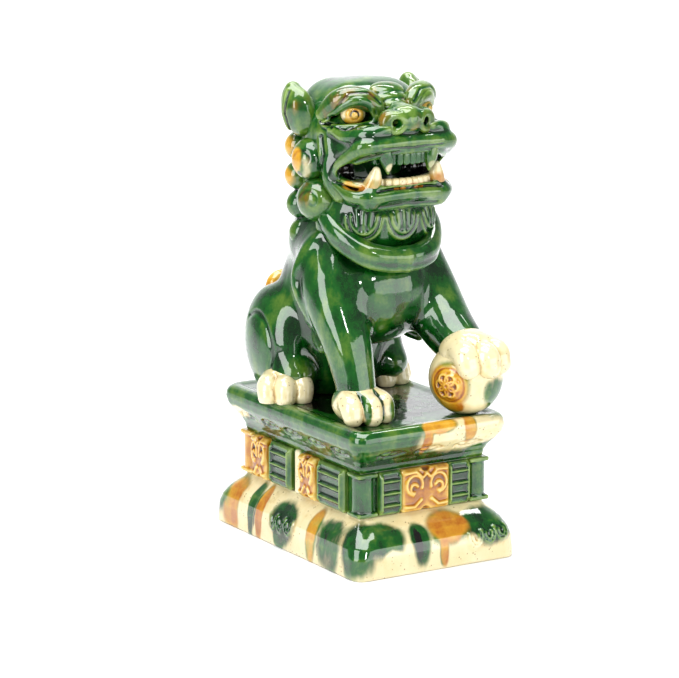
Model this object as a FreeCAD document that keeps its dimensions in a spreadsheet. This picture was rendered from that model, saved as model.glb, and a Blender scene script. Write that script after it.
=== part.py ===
"""Glazed earthenware guardian lion seated on a moulded plinth, one forepaw on a ball.

Frame: +Z up, the lion looks along -Y, its own left is +X, and the origin is the centre of the plinth's foot.
Every piece is one of the clay parts that are luted together with slip before firing, so neighbours meet face
to face and nothing moves. The plinth and the trunk are hollow, joined by a vent, and open underneath.
"""

import FreeCAD, Part
import math
import os
import Sketcher

SIZES = {
    # plinth foot, a moulding that swells out to the floor
    "foot_width": 80.0, "foot_depth": 120.0, "foot_height": 23.5, "foot_band": 8.0, "foot_corner": 6.0,
    # waist, a recessed wall with applied ornament
    "waist_width": 60.6, "waist_depth": 94.0, "waist_height": 18.9, "waist_corner": 2.0,
    "wall": 5.0, "relief": 2.0, "post_radius": 4.6, "post_inset": 2.6,
    # slab, a cove under a rounded rim with a slightly sunk field
    "slab_width": 76.0, "slab_depth": 114.0, "slab_cove": 11.0, "slab_rim": 8.6, "slab_corner": 6.5,
    "field_sink": 0.6, "field_margin": 5.0, "slab_roof": 5.0, "vent_radius": 7.0,
    # scroll plaques and fret panels on the waist
    "plaque_width": 23.0, "plaque_height": 20.5, "side_plaque_width": 11.5,
    "fret_width": 11.0, "fret_height": 16.0, "side_fret_width": 15.0, "slot_height": 2.6, "slot_depth": 1.2,
    "groove_radius": 2.3, "groove_wide": 0.9,
    "rear_bay": 29.5, "front_bay": -15.0, "rear_fret": 14.5, "front_fret": -30.0, "pilaster": 1.0,
    "pilaster_width": 5.0,
    # trunk
    "chest_wide": 28.5, "chest_deep": 25.5, "chest_tall": 26.0, "chest_back": -4.0, "chest_up": 114.0,
    "rump_wide": 24.0, "rump_deep": 24.5, "rump_tall": 36.0, "rump_back": 26.0, "rump_up": 92.0,
    "neck_wide": 25.0, "neck_deep": 25.0, "neck_tall": 22.0, "neck_back": 6.0, "neck_up": 136.0,
    "trunk_wall": 6.0,
    # hind legs
    "haunch_wide": 12.5, "haunch_deep": 18.0, "haunch_tall": 24.5,
    "haunch_side": 20.5, "haunch_back": 37.0, "haunch_up": 82.0,
    "hind_paw_wide": 12.5, "hind_paw_deep": 12.5, "hind_paw_tall": 9.5, "hind_paw_side": 25.5,
    "hind_paw_back": 22.0, "hind_paw_up": 66.5,
    # forelegs and paws
    "arm_thick": 11.0, "wrist_thick": 8.6,
    "shoulder_side": 19.5, "shoulder_back": -15.0, "shoulder_up": 113.0,
    "right_wrist_side": 22.0, "right_wrist_back": -29.0, "right_wrist_up": 71.0,
    "left_wrist_side": 23.5, "left_wrist_back": -40.0, "left_wrist_up": 91.0,
    "paw_wide": 11.8, "paw_deep": 12.5, "paw_tall": 8.5,
    "right_paw_back": -36.0, "right_paw_up": 67.5, "left_paw_back": -49.0, "left_paw_up": 86.5,
    # ball under the left forepaw
    "ball_radius": 15.4, "ball_side": 23.5, "ball_back": -43.0, "ball_up": 76.4,
    # tail, a fan of three curls up the back
    "tail_wide": 9.0, "tail_deep": 7.0, "tail_tall": 23.0, "tail_back": 50.0, "tail_up": 84.0,
    "tail_curl": 6.2, "tail_curl_side": 11.0, "tail_curl_back": 51.5, "tail_curl_up": 103.0,
    # locks of hair on the shoulders and elbows
    "tuft_wide": 5.0, "tuft_deep": 8.0, "tuft_tall": 19.0,
    "tuft_side": 25.0, "tuft_back": 1.0, "tuft_up": 101.0,
    "shoulder_lock_wide": 4.5, "shoulder_lock_tall": 16.0, "shoulder_lock_side": 25.0,
    "shoulder_lock_back": 4.0, "shoulder_lock_up": 130.0,
    # collar and the beard of five locks under the chin
    "collar_ring": 26.5, "collar_thick": 4.4, "collar_back": -2.5, "collar_up": 140.0,
    "lock_wide": 6.6, "lock_deep": 4.2, "lock_tall": 10.5,
    "lock_up": 142.5, "lock_ring": 23.0, "lock_back": -7.0,
    # skull, muzzle, jaw and the open mouth
    "skull_wide": 26.5, "skull_deep": 25.0, "skull_tall": 20.5, "skull_back": -3.0, "skull_up": 179.0,
    "muzzle_wide": 22.5, "muzzle_deep": 17.0, "muzzle_tall": 9.5, "muzzle_back": -20.5, "muzzle_up": 178.0,
    "jaw_wide": 22.5, "jaw_deep": 21.5, "jaw_tall": 8.0, "jaw_back": -15.5, "jaw_up": 156.0,
    "mouth_wide": 19.0, "mouth_deep": 24.0, "mouth_tall": 7.2, "mouth_back": -30.0, "mouth_up": 165.8,
    "cheek_wide": 4.5, "cheek_deep": 6.0, "cheek_tall": 14.0, "cheek_side": 22.5, "cheek_back": -14.0,
    "cheek_up": 163.0,
    "nose_wide": 11.0, "nose_deep": 6.5, "nose_tall": 6.0, "nose_back": -33.0, "nose_up": 186.5,
    "brow_wide": 10.5, "brow_deep": 6.0, "brow_tall": 5.0,
    "brow_side": 15.0, "brow_back": -18.0, "brow_up": 194.6,
    "eye_radius": 5.2, "eye_side": 17.0, "eye_back": -17.8, "eye_up": 188.0,
    "boss_wide": 6.5, "boss_deep": 5.0, "boss_tall": 5.0, "boss_back": -20.5, "boss_up": 194.6,
    "ear_wide": 6.0, "ear_deep": 7.0, "ear_tall": 11.5, "ear_side": 27.5, "ear_back": 7.0, "ear_up": 188.5,
    "ear_hollow": 3.0,
    # teeth
    "tooth_thick": 2.4, "tooth_tall": 3.4,
    "tooth_row_wide": 15.5, "tooth_row_deep": 13.5, "tooth_row_back": -22.5,
    "upper_teeth_up": 172.0, "lower_teeth_up": 159.6,
    "fang_thick": 3.0, "upper_fang_side": 9.6, "upper_fang_back": -34.0, "upper_fang_up": 174.0,
    "upper_fang_long": 9.5, "lower_fang_side": 14.0, "lower_fang_back": -32.0, "lower_fang_up": 157.5,
    "lower_fang_long": 10.5,
    # mane: a cap of hair behind the face with snail curls on it
    "mane_wide": 25.0, "mane_deep": 17.5, "mane_tall": 34.0, "mane_back": 5.0, "mane_up": 156.0,
    "curl_wide": 8.2, "curl_thick": 7.4, "side_curl_side": 24.2,
    "upper_curl_back": 1.6, "upper_curl_up": 167.4, "lower_curl_back": -3.2, "lower_curl_up": 150.6,
    "nape_curl_tall": 6.2, "nape_curl_low": 134.0, "nape_curl_step": 12.5, "nape_curl_side": 15.6,
}

doc = FreeCAD.newDocument("guardian_lion")
sheet = doc.addObject("Spreadsheet::Sheet", "Sizes")
for row, (alias, value) in enumerate(SIZES.items(), start=1):
    sheet.set(f"A{row}", alias)
    sheet.set(f"B{row}", str(value))
    sheet.setAlias(f"B{row}", alias)
doc.recompute()

kept = []


def bind(obj, **expressions):
    """Binds properties to sheet expressions, in which a bare alias is written with a leading $."""
    for prop, text in expressions.items():
        obj.setExpression(prop.replace("__", "."), text.replace("$", "Sizes."))
    return obj


def place(obj, x, y, z, turn=None):
    """Puts obj at a place given by expressions, turned by a fixed rotation."""
    if turn is not None:
        obj.Placement = FreeCAD.Placement(FreeCAD.Vector(), turn)
    return bind(obj, Placement__Base__x=x, Placement__Base__y=y, Placement__Base__z=z)


def turned(yaw=0.0, pitch=0.0, roll=0.0):
    """A rotation about Z, then Y, then X, in degrees."""
    return FreeCAD.Rotation(yaw, pitch, roll)


def ellipsoid(name, wide, deep, tall, at, turn=None):
    obj = doc.addObject("Part::Ellipsoid", name)
    bind(obj, Radius1=tall, Radius2=wide, Radius3=deep)
    return place(obj, *at, turn)


def box(name, wide, deep, tall, at):
    """A block centred on X and Y that stands on z."""
    obj = doc.addObject("Part::Box", name)
    bind(obj, Length=wide, Width=deep, Height=tall)
    x, y, z = at
    return place(obj, f"({x}) - ({wide}) / 2", f"({y}) - ({deep}) / 2", z)


def cylinder(name, radius, tall, at, turn=None):
    obj = doc.addObject("Part::Cylinder", name)
    bind(obj, Radius=radius, Height=tall)
    return place(obj, *at, turn)


def fuse(name, *shapes):
    obj = doc.addObject("Part::MultiFuse", name)
    obj.Shapes = list(shapes)
    return obj


def less(name, base, *tools):
    """base with every tool cut from it, in turn."""
    for number, tool in enumerate(tools, start=1):
        cut = doc.addObject("Part::Cut", name if number == len(tools) else f"{name}_cut_{number}")
        cut.Base, cut.Tool = base, tool
        base = cut
    return base


def mirrored(name, source):
    """The copy of source on the lion's other side."""
    obj = doc.addObject("Part::Mirroring", name)
    obj.Source = source
    obj.Normal = FreeCAD.Vector(1, 0, 0)
    return obj


def keep(obj, label=None):
    """Marks obj as a finished sub-part."""
    obj.Label = label or obj.Name
    kept.append(obj)
    return obj


# ---------------------------------------------------------------- sketches


def origin_plane(body, role):
    return next(f for f in body.Origin.OriginFeatures if f.Role == role)


def sketch_on(body, name, role, offset):
    sk = body.newObject("Sketcher::SketchObject", name)
    sk.AttachmentSupport = [(origin_plane(body, role), "")]
    sk.MapMode = "FlatFace"
    bind(sk, AttachmentOffset__Base__z=offset)
    return sk


def rounded_rectangle(sk, wide, deep, corner):
    """Four lines and four arcs about the sketch's origin, driven by three expressions."""
    w, d, r = 30.0, 45.0, 3.0
    vec, up = FreeCAD.Vector, FreeCAD.Vector(0, 0, 1)
    lines = [
        ((-w + r, -d), (w - r, -d)), ((w, -d + r), (w, d - r)),
        ((w - r, d), (-w + r, d)), ((-w, d - r), (-w, -d + r)),
    ]
    centres = [(w - r, -d + r, -90), (w - r, d - r, 0), (-w + r, d - r, 90), (-w + r, -d + r, 180)]
    for (start, end), (cx, cy, angle) in zip(lines, centres):
        sk.addGeometry(Part.LineSegment(vec(*start, 0), vec(*end, 0)))
        circle = Part.Circle(vec(cx, cy, 0), up, r)
        sk.addGeometry(Part.ArcOfCircle(circle, math.radians(angle), math.radians(angle + 90)))
    for side in range(4):
        line, arc, following = 2 * side, 2 * side + 1, (2 * side + 2) % 8
        sk.addConstraint(Sketcher.Constraint("Tangent", line, 2, arc, 1))
        sk.addConstraint(Sketcher.Constraint("Tangent", arc, 2, following, 1))
    sk.addConstraint(Sketcher.Constraint("Horizontal", 4))
    sk.addConstraint(Sketcher.Constraint("Vertical", 6))
    for arc in (3, 5, 7):
        sk.addConstraint(Sketcher.Constraint("Equal", 1, arc))
    sk.addConstraint(Sketcher.Constraint("Symmetric", 0, 1, 0, 2, -2))
    sk.addConstraint(Sketcher.Constraint("Symmetric", 2, 1, 2, 2, -1))
    driven = [
        ("corner", Sketcher.Constraint("Radius", 1, r), corner),
        ("wide", Sketcher.Constraint("DistanceX", 6, 1, 2, 2, 2 * w), wide),
        ("deep", Sketcher.Constraint("DistanceY", 0, 1, 4, 2, 2 * d), deep),
    ]
    for name, constraint, expression in driven:
        index = sk.addConstraint(constraint)
        sk.renameConstraint(index, name)
        bind(sk, **{f"Constraints__{name}": expression})
    return sk


def lofted_body(name, levels, hollow=()):
    """A body lofted through rounded rectangles; each level is (z, wide, deep, corner) as expressions."""
    body = doc.addObject("PartDesign::Body", name)
    for kind, rings in (("AdditiveLoft", levels), ("SubtractiveLoft", hollow)):
        sketches = []
        for number, (z, wide, deep, corner) in enumerate(rings):
            sk = sketch_on(body, f"{name}_{kind}_{number}", "XY_Plane", z)
            sketches.append(rounded_rectangle(sk, wide, deep, corner))
        if sketches:
            loft = body.newObject(f"PartDesign::{kind}", f"{name}_{kind}")
            loft.Profile = sketches[0]
            loft.Sections = sketches[1:]
            loft.Ruled = kind == "SubtractiveLoft"
            doc.recompute()
    return body


# ---------------------------------------------------------------- plinth

WAIST_Z = "$foot_height"
SLAB_Z = "$foot_height + $waist_height"
RIM_Z = f"{SLAB_Z} + $slab_cove"
TOP_Z = f"{RIM_Z} + $slab_rim"
FIELD_Z = f"{TOP_Z} - $field_sink"


def flare(share):
    """The foot's width, depth and corner at a share of the way from its floor band in to the waist."""
    return tuple(
        f"$foot_{name} + ($waist_{name} - $foot_{name}) * {share}" for name in ("width", "depth", "corner")
    )


def rim(inset):
    """The slab's width, depth and corner, drawn in on every side."""
    return (f"$slab_width - 2 * {inset}", f"$slab_depth - 2 * {inset}", "$slab_corner")


def inside(share):
    """A hollow one wall inside the foot's flare."""
    wide, deep, corner = flare(share)
    return (f"{wide} - 2 * $wall", f"{deep} - 2 * $wall", corner)


foot = lofted_body(
    "plinth_foot",
    [
        ("0", *flare(0.02)),
        ("$foot_band * 0.5", *flare(0)),
        ("$foot_band", *flare(0.01)),
        ("$foot_height * 0.55", *flare(0.14)),
        ("$foot_height * 0.78", *flare(0.42)),
        ("$foot_height * 0.92", *flare(0.76)),
        ("$foot_height", *flare(1)),
    ],
    [("0", *inside(0)), ("$foot_height * 0.5", *inside(0.2)), ("$foot_height", *inside(1))],
)
keep(foot)

waist_block = box("waist_block", "$waist_width", "$waist_depth", "$waist_height", ("0", "0", WAIST_Z))
waist_hollow = box(
    "waist_hollow", "$waist_width - 2 * $wall", "$waist_depth - 2 * $wall", "$waist_height",
    ("0", "0", WAIST_Z),
)
pilasters = box(
    "waist_pilasters", "$waist_width + 2 * $relief", "$pilaster_width", "$waist_height",
    ("0", "$pilaster", WAIST_Z),
)
keep(less("plinth_waist", fuse("waist_outside", waist_block, pilasters), waist_hollow))

slab_body = lofted_body(
    "slab_body",
    [
        (SLAB_Z, "$waist_width", "$waist_depth", "$waist_corner"),
        (f"{SLAB_Z} + $slab_cove * 0.55", *rim("5.5")),
        (RIM_Z, *rim("1.6")),
        (f"{RIM_Z} + $slab_rim * 0.45", *rim("0")),
        (f"{RIM_Z} + $slab_rim * 0.8", *rim("0.7")),
        (TOP_Z, *rim("2.6")),
    ],
)
slab_hollow = box(
    "slab_hollow", "$waist_width - 2 * $wall", "$waist_depth - 2 * $wall",
    "$slab_cove + $slab_rim - $slab_roof", ("0", "0", SLAB_Z),
)
slab_field = box(
    "slab_field", "$slab_width - 2 * $field_margin", "$slab_depth - 2 * $field_margin", "$slab_rim",
    ("0", "0", FIELD_Z),
)
vent = cylinder("vent", "$vent_radius", "$slab_roof + 10", ("0", "$rump_back", f"{TOP_Z} - $slab_roof - 2"))
keep(less("plinth_slab", slab_body, slab_hollow, slab_field, vent))

for side, x_sign in (("right", "-"), ("left", "")):
    for end, y_sign in (("front", "-"), ("rear", "")):
        post = cylinder(
            f"{side}_{end}_post_rod", "$post_radius", "$waist_height",
            (
                f"{x_sign}($waist_width / 2 - $post_inset)",
                f"{y_sign}($waist_depth / 2 - $post_inset)",
                WAIST_Z,
            ),
        )
        keep(less(f"{side}_{end}_post", post, waist_block))


def scroll_grooves(name, x, y, z, spread, facing):
    """Cutters for two ring grooves in a plaque's face, which looks along the axis facing."""
    turn = FreeCAD.Rotation(FreeCAD.Vector(0, 0, 1), FreeCAD.Vector(*facing))
    tools = []
    for number, sign in enumerate("-+"):
        ring = doc.addObject("Part::Torus", f"{name}_ring_{number}")
        bind(ring, Radius1="$groove_radius", Radius2="$groove_wide")
        along = f"({x}) {sign} ({spread})" if facing[1] else x
        across = y if facing[1] else f"({y}) {sign} ({spread})"
        tools.append(place(ring, along, across, z, turn))
    return tools


MIDDLE_Z = f"{WAIST_Z} + $waist_height / 2"
for end, sign in (("front", "-"), ("back", "")):
    face = f"{sign}($waist_depth / 2 + $relief / 2)"
    skin = f"{sign}($waist_depth / 2 + $relief)"
    block = box(f"{end}_plaque_block", "$plaque_width", "$relief", "$waist_height", ("0", face, WAIST_Z))
    rings = scroll_grooves(f"{end}_plaque", "0", skin, MIDDLE_Z, "$plaque_width / 4", (0, 1, 0))
    keep(less(f"{end}_scroll_plaque", block, *rings))
    for side, x_sign in (("right", "-"), ("left", "")):
        middle = f"{x_sign}($plaque_width / 2 + $fret_width / 2)"
        panel = box(f"{end}_{side}_panel", "$fret_width", "$relief * 0.7", "$fret_height",
                    (middle, f"{sign}($waist_depth / 2 + $relief * 0.35)", f"{MIDDLE_Z} - $fret_height / 2"))
        slots = [
            box(f"{end}_{side}_slot_{number}", "$fret_width - 4", "$slot_depth", "$slot_height",
                (middle, f"{sign}($waist_depth / 2 + $relief * 0.7)", f"{MIDDLE_Z} + {shift}"))
            for number, shift in enumerate(("2", "(-2 - $slot_height)"))
        ]
        keep(less(f"{end}_{side}_fret", panel, *slots))

for end, bay, fret in (("rear", "$rear_bay", "$rear_fret"), ("front", "$front_bay", "$front_fret")):
    face = "-($waist_width / 2 + $relief / 2)"
    block = box(f"{end}_side_block", "$relief", "$side_plaque_width", "$waist_height", (face, bay, WAIST_Z))
    rings = scroll_grooves(f"{end}_side", "-($waist_width / 2 + $relief)", bay, MIDDLE_Z,
                           "$side_plaque_width / 4", (1, 0, 0))
    right = keep(less(f"right_{end}_scroll", block, *rings))
    keep(mirrored(f"left_{end}_scroll", right))
    panel = box(f"{end}_side_panel", "$relief * 0.7", "$side_fret_width", "$fret_height",
                ("-($waist_width / 2 + $relief * 0.35)", fret, f"{MIDDLE_Z} - $fret_height / 2"))
    slots = [
        box(f"{end}_side_slot_{number}", "$slot_depth", "$side_fret_width - 4", "$slot_height",
            ("-($waist_width / 2 + $relief * 0.7)", fret, f"{MIDDLE_Z} + {shift}"))
        for number, shift in enumerate(("2", "(-2 - $slot_height)"))
    ]
    right = keep(less(f"right_{end}_fret", panel, *slots))
    keep(mirrored(f"left_{end}_fret", right))

# ---------------------------------------------------------------- trunk and limbs

ground = box("ground", "2 * $slab_width", "2 * $slab_depth", FIELD_Z, ("0", "0", "0"))


def lump(part, name, wall=""):
    """One of the trunk's three masses; wall draws it in on all sides."""
    radii = [f"${part}_{axis} {wall}" for axis in ("wide", "deep", "tall")]
    return ellipsoid(name, *radii, ("0", f"${part}_back", f"${part}_up"))


masses = ("chest", "rump", "neck")
outside = fuse("trunk_outside", *(lump(part, f"{part}_mass") for part in masses))
cavity = fuse("trunk_cavity", *(lump(part, f"{part}_cavity", "- $trunk_wall") for part in masses))
trunk = keep(less("trunk", outside, ground, cavity, vent))


def limb(name, root, root_thick, tip, tip_thick):
    """A tapering limb with rounded ends; root and tip name the sheet's (side, back, up) places."""
    at = [tuple(f"${part}_{axis}" for axis in ("side", "back", "up")) for part in (root, tip)]
    ends = [
        FreeCAD.Vector(*(SIZES[f"{part}_{axis}"] for axis in ("side", "back", "up"))) for part in (root, tip)
    ]
    cone = doc.addObject("Part::Cone", f"{name}_shaft")
    run = " + ".join(f"({a} - {b})^2" for a, b in zip(*at))
    bind(cone, Radius1=root_thick, Radius2=tip_thick, Height=f"sqrt({run})")
    place(cone, *at[0], FreeCAD.Rotation(FreeCAD.Vector(0, 0, 1), ends[1] - ends[0]))
    caps = []
    for label, centre, radius in (("root", at[0], root_thick), ("tip", at[1], tip_thick)):
        cap = doc.addObject("Part::Sphere", f"{name}_{label}")
        bind(cap, Radius=radius)
        caps.append(place(cap, *centre))
    return fuse(f"{name}_limb", cone, *caps)


haunch = ellipsoid("haunch_mass", "$haunch_wide", "$haunch_deep", "$haunch_tall",
                   ("-$haunch_side", "$haunch_back", "$haunch_up"))
right_haunch = keep(less("right_haunch", haunch, outside, ground))
keep(mirrored("left_haunch", right_haunch))
hind_paw = ellipsoid("hind_paw_mass", "$hind_paw_wide", "$hind_paw_deep", "$hind_paw_tall",
                     ("-$hind_paw_side", "$hind_paw_back", "$hind_paw_up"))
right_hind_paw = keep(less("right_hind_paw", hind_paw, haunch, outside, ground))
keep(mirrored("left_hind_paw", right_hind_paw))

ball = doc.addObject("Part::Sphere", "ball_sphere")
bind(ball, Radius="$ball_radius")
place(ball, "$ball_side", "$ball_back", "$ball_up")
ball = keep(less("ball", ball, ground))

left_arm = limb("left_arm", "shoulder", "$arm_thick", "left_wrist", "$wrist_thick")
right_arm = mirrored("right_arm", limb("right_arm", "shoulder", "$arm_thick", "right_wrist", "$wrist_thick"))
left_foreleg = keep(less("left_foreleg", left_arm, outside, ball))
right_foreleg = keep(less("right_foreleg", right_arm, outside, ground))
right_paw = ellipsoid("right_paw_mass", "$paw_wide", "$paw_deep", "$paw_tall",
                      ("-$right_wrist_side", "$right_paw_back", "$right_paw_up"))
left_paw = ellipsoid("left_paw_mass", "$paw_wide", "$paw_deep", "$paw_tall",
                     ("$left_wrist_side", "$left_paw_back", "$left_paw_up"))
keep(less("right_forepaw", right_paw, right_arm, ground))
keep(less("left_forepaw", left_paw, left_arm, ball))

# the tail lies against the rump and ends in a curl on each side of its tip
tail_mass = ellipsoid("tail_mass", "$tail_deep", "$tail_wide", "$tail_tall",
                      ("0", "$tail_back", "$tail_up"), turned(yaw=-90))
tail_curls = []
for side, sign in (("right", "-"), ("left", "")):
    at = (f"{sign}$tail_curl_side", "$tail_curl_back", "$tail_curl_up")
    tail_curls.append(
        ellipsoid(f"tail_{side}_curl", "$tail_deep", "$tail_curl", "$tail_curl * 1.4", at, turned(yaw=-90))
    )
haunches = [haunch, mirrored("left_haunch_mass", haunch)]
keep(less("tail", fuse("tail_outside", tail_mass, *tail_curls), fuse("rear", outside, *haunches), ground))

# locks of hair down the shoulder and behind the elbow
tuft = ellipsoid("tuft_mass", "$tuft_wide", "$tuft_deep", "$tuft_tall",
                 ("-$tuft_side", "$tuft_back", "$tuft_up"), turned(roll=-18))
strand = ellipsoid("strand_mass", "$shoulder_lock_wide", "$shoulder_lock_wide", "$shoulder_lock_tall",
                   ("-$shoulder_lock_side", "$shoulder_lock_back", "$shoulder_lock_up"), turned(roll=8))
locks = fuse("lock_masses", tuft, strand)
right_lock = keep(less("right_shoulder_lock", locks, outside, right_arm, haunch))
left_blank = mirrored("left_lock_blank", locks)
keep(less("left_shoulder_lock", left_blank, outside, left_arm, haunches[1]))

# ---------------------------------------------------------------- collar, head and mane

collar_ring = doc.addObject("Part::Torus", "collar_ring")
bind(collar_ring, Radius1="$collar_ring", Radius2="$collar_thick")
place(collar_ring, "0", "$collar_back", "$collar_up", turned(roll=24))
keep(less("collar", collar_ring, outside))


def mass(part, name=None, side="0", turn=None):
    """The ellipsoid of a part, from its wide, deep, tall, back and up entries in the sheet."""
    radii = [f"${part}_{axis}" for axis in ("wide", "deep", "tall")]
    return ellipsoid(name or f"{part}_mass", *radii, (side, f"${part}_back", f"${part}_up"), turn)


def both_sides(name, right):
    """Keeps a right-hand piece and its mirror image."""
    keep(right, f"right_{name}")
    keep(mirrored(f"left_{name}", right))


# the skull's muzzle overhangs the mouth, and everything in front below the bite line belongs to the jaw
mouth = mass("mouth")
head = fuse("head_block", mass("skull"), mass("muzzle"))
below_bite = box("below_bite", "3 * $skull_wide", "2 * $mouth_deep", "3 * $mouth_tall",
                 ("0", "$mouth_back", "$mouth_up - 3 * $mouth_tall"))
upper_head = less("upper_head", head, mouth, below_bite)
right_eye = doc.addObject("Part::Sphere", "right_eyeball")
bind(right_eye, Radius="$eye_radius")
place(right_eye, "-$eye_side", "$eye_back", "$eye_up")
left_eye = mirrored("left_eyeball", right_eye)
keep(less("skull", upper_head, outside, right_eye, left_eye))
keep(right_eye)
keep(left_eye)

right_cheek = mass("cheek", side="-$cheek_side")
jaw_block = fuse("jaw_block", mass("jaw"), right_cheek, mirrored("left_cheek", right_cheek))
keep(less("lower_jaw", jaw_block, mouth, upper_head, outside, collar_ring))

nose_mass = mass("nose")
boss_mass = mass("boss")
brow_mass = mass("brow", side="-$brow_side", turn=FreeCAD.Rotation(FreeCAD.Vector(0, 1, 0), -12))
keep(less("nose", nose_mass, head))
keep(less("forehead_boss", boss_mass, head))
both_sides("brow", less("right_brow_cut", brow_mass, head, right_eye, boss_mass))

mane = mass("mane")
keep(less("mane", mane, head, jaw_block, outside, collar_ring))

ear_mass = mass("ear", side="-$ear_side")
ear_hollow = ellipsoid("ear_hollow", "$ear_hollow", "$ear_deep - 2", "$ear_tall - 3",
                       ("-$ear_side - 2", "$ear_back - 5", "$ear_up + 1"))
both_sides("ear", less("right_ear_cut", ear_mass, ear_hollow, head, mane))


def tooth_row(name, up):
    """A curved row of seven blunt teeth, kept to what stands in the mouth."""
    teeth = []
    for number in range(7):
        angle = f"{20 * (number - 3)} deg"
        at = (f"$tooth_row_wide * sin({angle})", f"$tooth_row_back - $tooth_row_deep * cos({angle})", up)
        teeth.append(ellipsoid(f"{name}_{number}", "$tooth_thick", "$tooth_thick", "$tooth_tall", at))
    return inside_mouth(name, fuse(f"{name}_strip", *teeth))


def inside_mouth(name, shape):
    common = doc.addObject("Part::Common", name)
    common.Base, common.Tool = shape, mouth
    return common


def fang(part, tip):
    """A cone from its root at the sheet's part place, pointing along tip."""
    cone = doc.addObject("Part::Cone", f"{part}_cone")
    bind(cone, Radius1="$fang_thick", Height=f"${part}_long")
    cone.Radius2 = 0.4
    place(cone, f"-${part}_side", f"${part}_back", f"${part}_up",
          FreeCAD.Rotation(FreeCAD.Vector(0, 0, 1), FreeCAD.Vector(*tip)))
    return cone


upper_fang = fang("upper_fang", (0, -0.1, -1))
lower_fang = fang("lower_fang", (0, -0.2, 1))
both_sides("upper_fang", inside_mouth("right_upper_fang_cut", upper_fang))
lower_fang_cut = inside_mouth("lower_fang_in_mouth", lower_fang)
both_sides("lower_fang", less("right_lower_fang_cut", lower_fang_cut, upper_fang))
fangs = [
    upper_fang, lower_fang, mirrored("left_upper_cone", upper_fang), mirrored("left_lower_cone", lower_fang)
]
for row in ("upper_teeth", "lower_teeth"):
    keep(less(row, tooth_row(f"{row}_row", f"${row}_up"), *fangs))

# the beard hangs from the chin as one sprigged strip of five locks
beard_locks = []
for number in range(5):
    angle = f"{34 * (number - 2)} deg"
    at = (f"$lock_ring * sin({angle})", f"$lock_back - $lock_ring * cos({angle})", "$lock_up")
    beard_locks.append(ellipsoid(f"beard_lock_{number}", "$lock_wide", "$lock_deep", "$lock_tall", at))
keep(less("beard", fuse("beard_strip", *beard_locks), outside, collar_ring, jaw_block))

neighbours = (head, jaw_block, mane, outside, collar_ring)
for name in ("upper", "lower"):
    at = ("-$side_curl_side", f"${name}_curl_back", f"${name}_curl_up")
    curl = ellipsoid(f"{name}_curl_mass", "$curl_thick", "$curl_wide", "$curl_wide", at)
    both_sides(f"{name}_side_curl", less(f"right_{name}_curl_cut", curl, *neighbours))


def nape_column(name, side):
    """Four curls down the back of the mane at one distance from the middle."""
    curls = []
    for number in range(4):
        up = f"($nape_curl_low + {number} * $nape_curl_step)"
        out = f"sqrt(1 - (({side}) / $mane_wide)^2 - (({up} - $mane_up) / $mane_tall)^2)"
        at = (side, f"$mane_back + $mane_deep * {out}", up)
        radii = ("$nape_curl_side * 0.48", "$curl_thick * 0.75", "$nape_curl_tall")
        curls.append(ellipsoid(f"{name}_{number}", *radii, at))
    return less(f"{name}_curls", fuse(f"{name}_masses", *curls), mane, outside, collar_ring)


keep(nape_column("middle_nape", "0"))
both_sides("nape_curls", nape_column("right_nape", "-$nape_curl_side"))

# ---------------------------------------------------------------- check and export

doc.recompute()
for obj in doc.Objects:
    if "Invalid" in obj.State or "Error" in obj.State:
        raise RuntimeError(f"{obj.Name} did not compute: {obj.State}")
os.makedirs("parts", exist_ok=True)
for obj in kept:
    if obj.Shape.isNull() or not obj.Shape.isValid():
        raise RuntimeError(f"{obj.Label} has no valid shape")
    obj.Shape.exportStep(f"parts/{obj.Label}.step")
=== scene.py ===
"""Looks of a glazed earthenware guardian lion on its plinth, modelled in clay-like distance fields.

Every piece is worked out in millimetres in the part's own frame: +Z up, the lion looks along -Y and its
right-hand side is -X. Each one replaces the CAD nodes that it stands for.
"""

import math

import bpy
import numpy as np
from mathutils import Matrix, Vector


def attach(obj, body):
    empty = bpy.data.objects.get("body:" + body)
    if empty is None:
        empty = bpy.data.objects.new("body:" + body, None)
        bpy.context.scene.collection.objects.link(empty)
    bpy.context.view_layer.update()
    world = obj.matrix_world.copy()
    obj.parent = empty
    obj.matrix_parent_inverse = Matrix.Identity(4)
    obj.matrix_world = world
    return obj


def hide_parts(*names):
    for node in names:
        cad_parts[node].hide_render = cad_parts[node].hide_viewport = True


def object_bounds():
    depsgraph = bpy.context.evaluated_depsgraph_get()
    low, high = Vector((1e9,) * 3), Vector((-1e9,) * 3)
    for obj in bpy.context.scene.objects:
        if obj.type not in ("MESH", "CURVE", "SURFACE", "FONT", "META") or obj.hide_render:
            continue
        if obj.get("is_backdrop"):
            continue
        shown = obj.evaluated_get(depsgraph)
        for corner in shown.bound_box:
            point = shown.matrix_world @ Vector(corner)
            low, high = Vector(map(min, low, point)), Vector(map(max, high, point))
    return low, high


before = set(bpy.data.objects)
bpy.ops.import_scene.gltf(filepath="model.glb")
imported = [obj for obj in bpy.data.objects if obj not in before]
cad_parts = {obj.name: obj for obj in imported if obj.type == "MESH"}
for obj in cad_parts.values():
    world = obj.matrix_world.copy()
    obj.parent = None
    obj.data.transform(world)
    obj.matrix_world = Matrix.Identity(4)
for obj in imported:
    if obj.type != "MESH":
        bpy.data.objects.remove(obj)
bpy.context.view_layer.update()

import openvdb
from bpy.props import FloatProperty, FloatVectorProperty, PointerProperty
from mathutils import Euler, Vector

bl_info = {
    "name": "Guardian lion",
    "version": (1, 0, 0),
    "blender": (4, 5, 0),
    "location": "3D View > Sidebar > Lion",
    "description": "Builds a glazed guardian lion statue piece by piece",
    "category": "Object",
}

MM = 0.001
FAR = 40.0  # the distance that empty clay starts with, in millimetres
SIDES = ((-1, "right"), (1, "left"))

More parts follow.
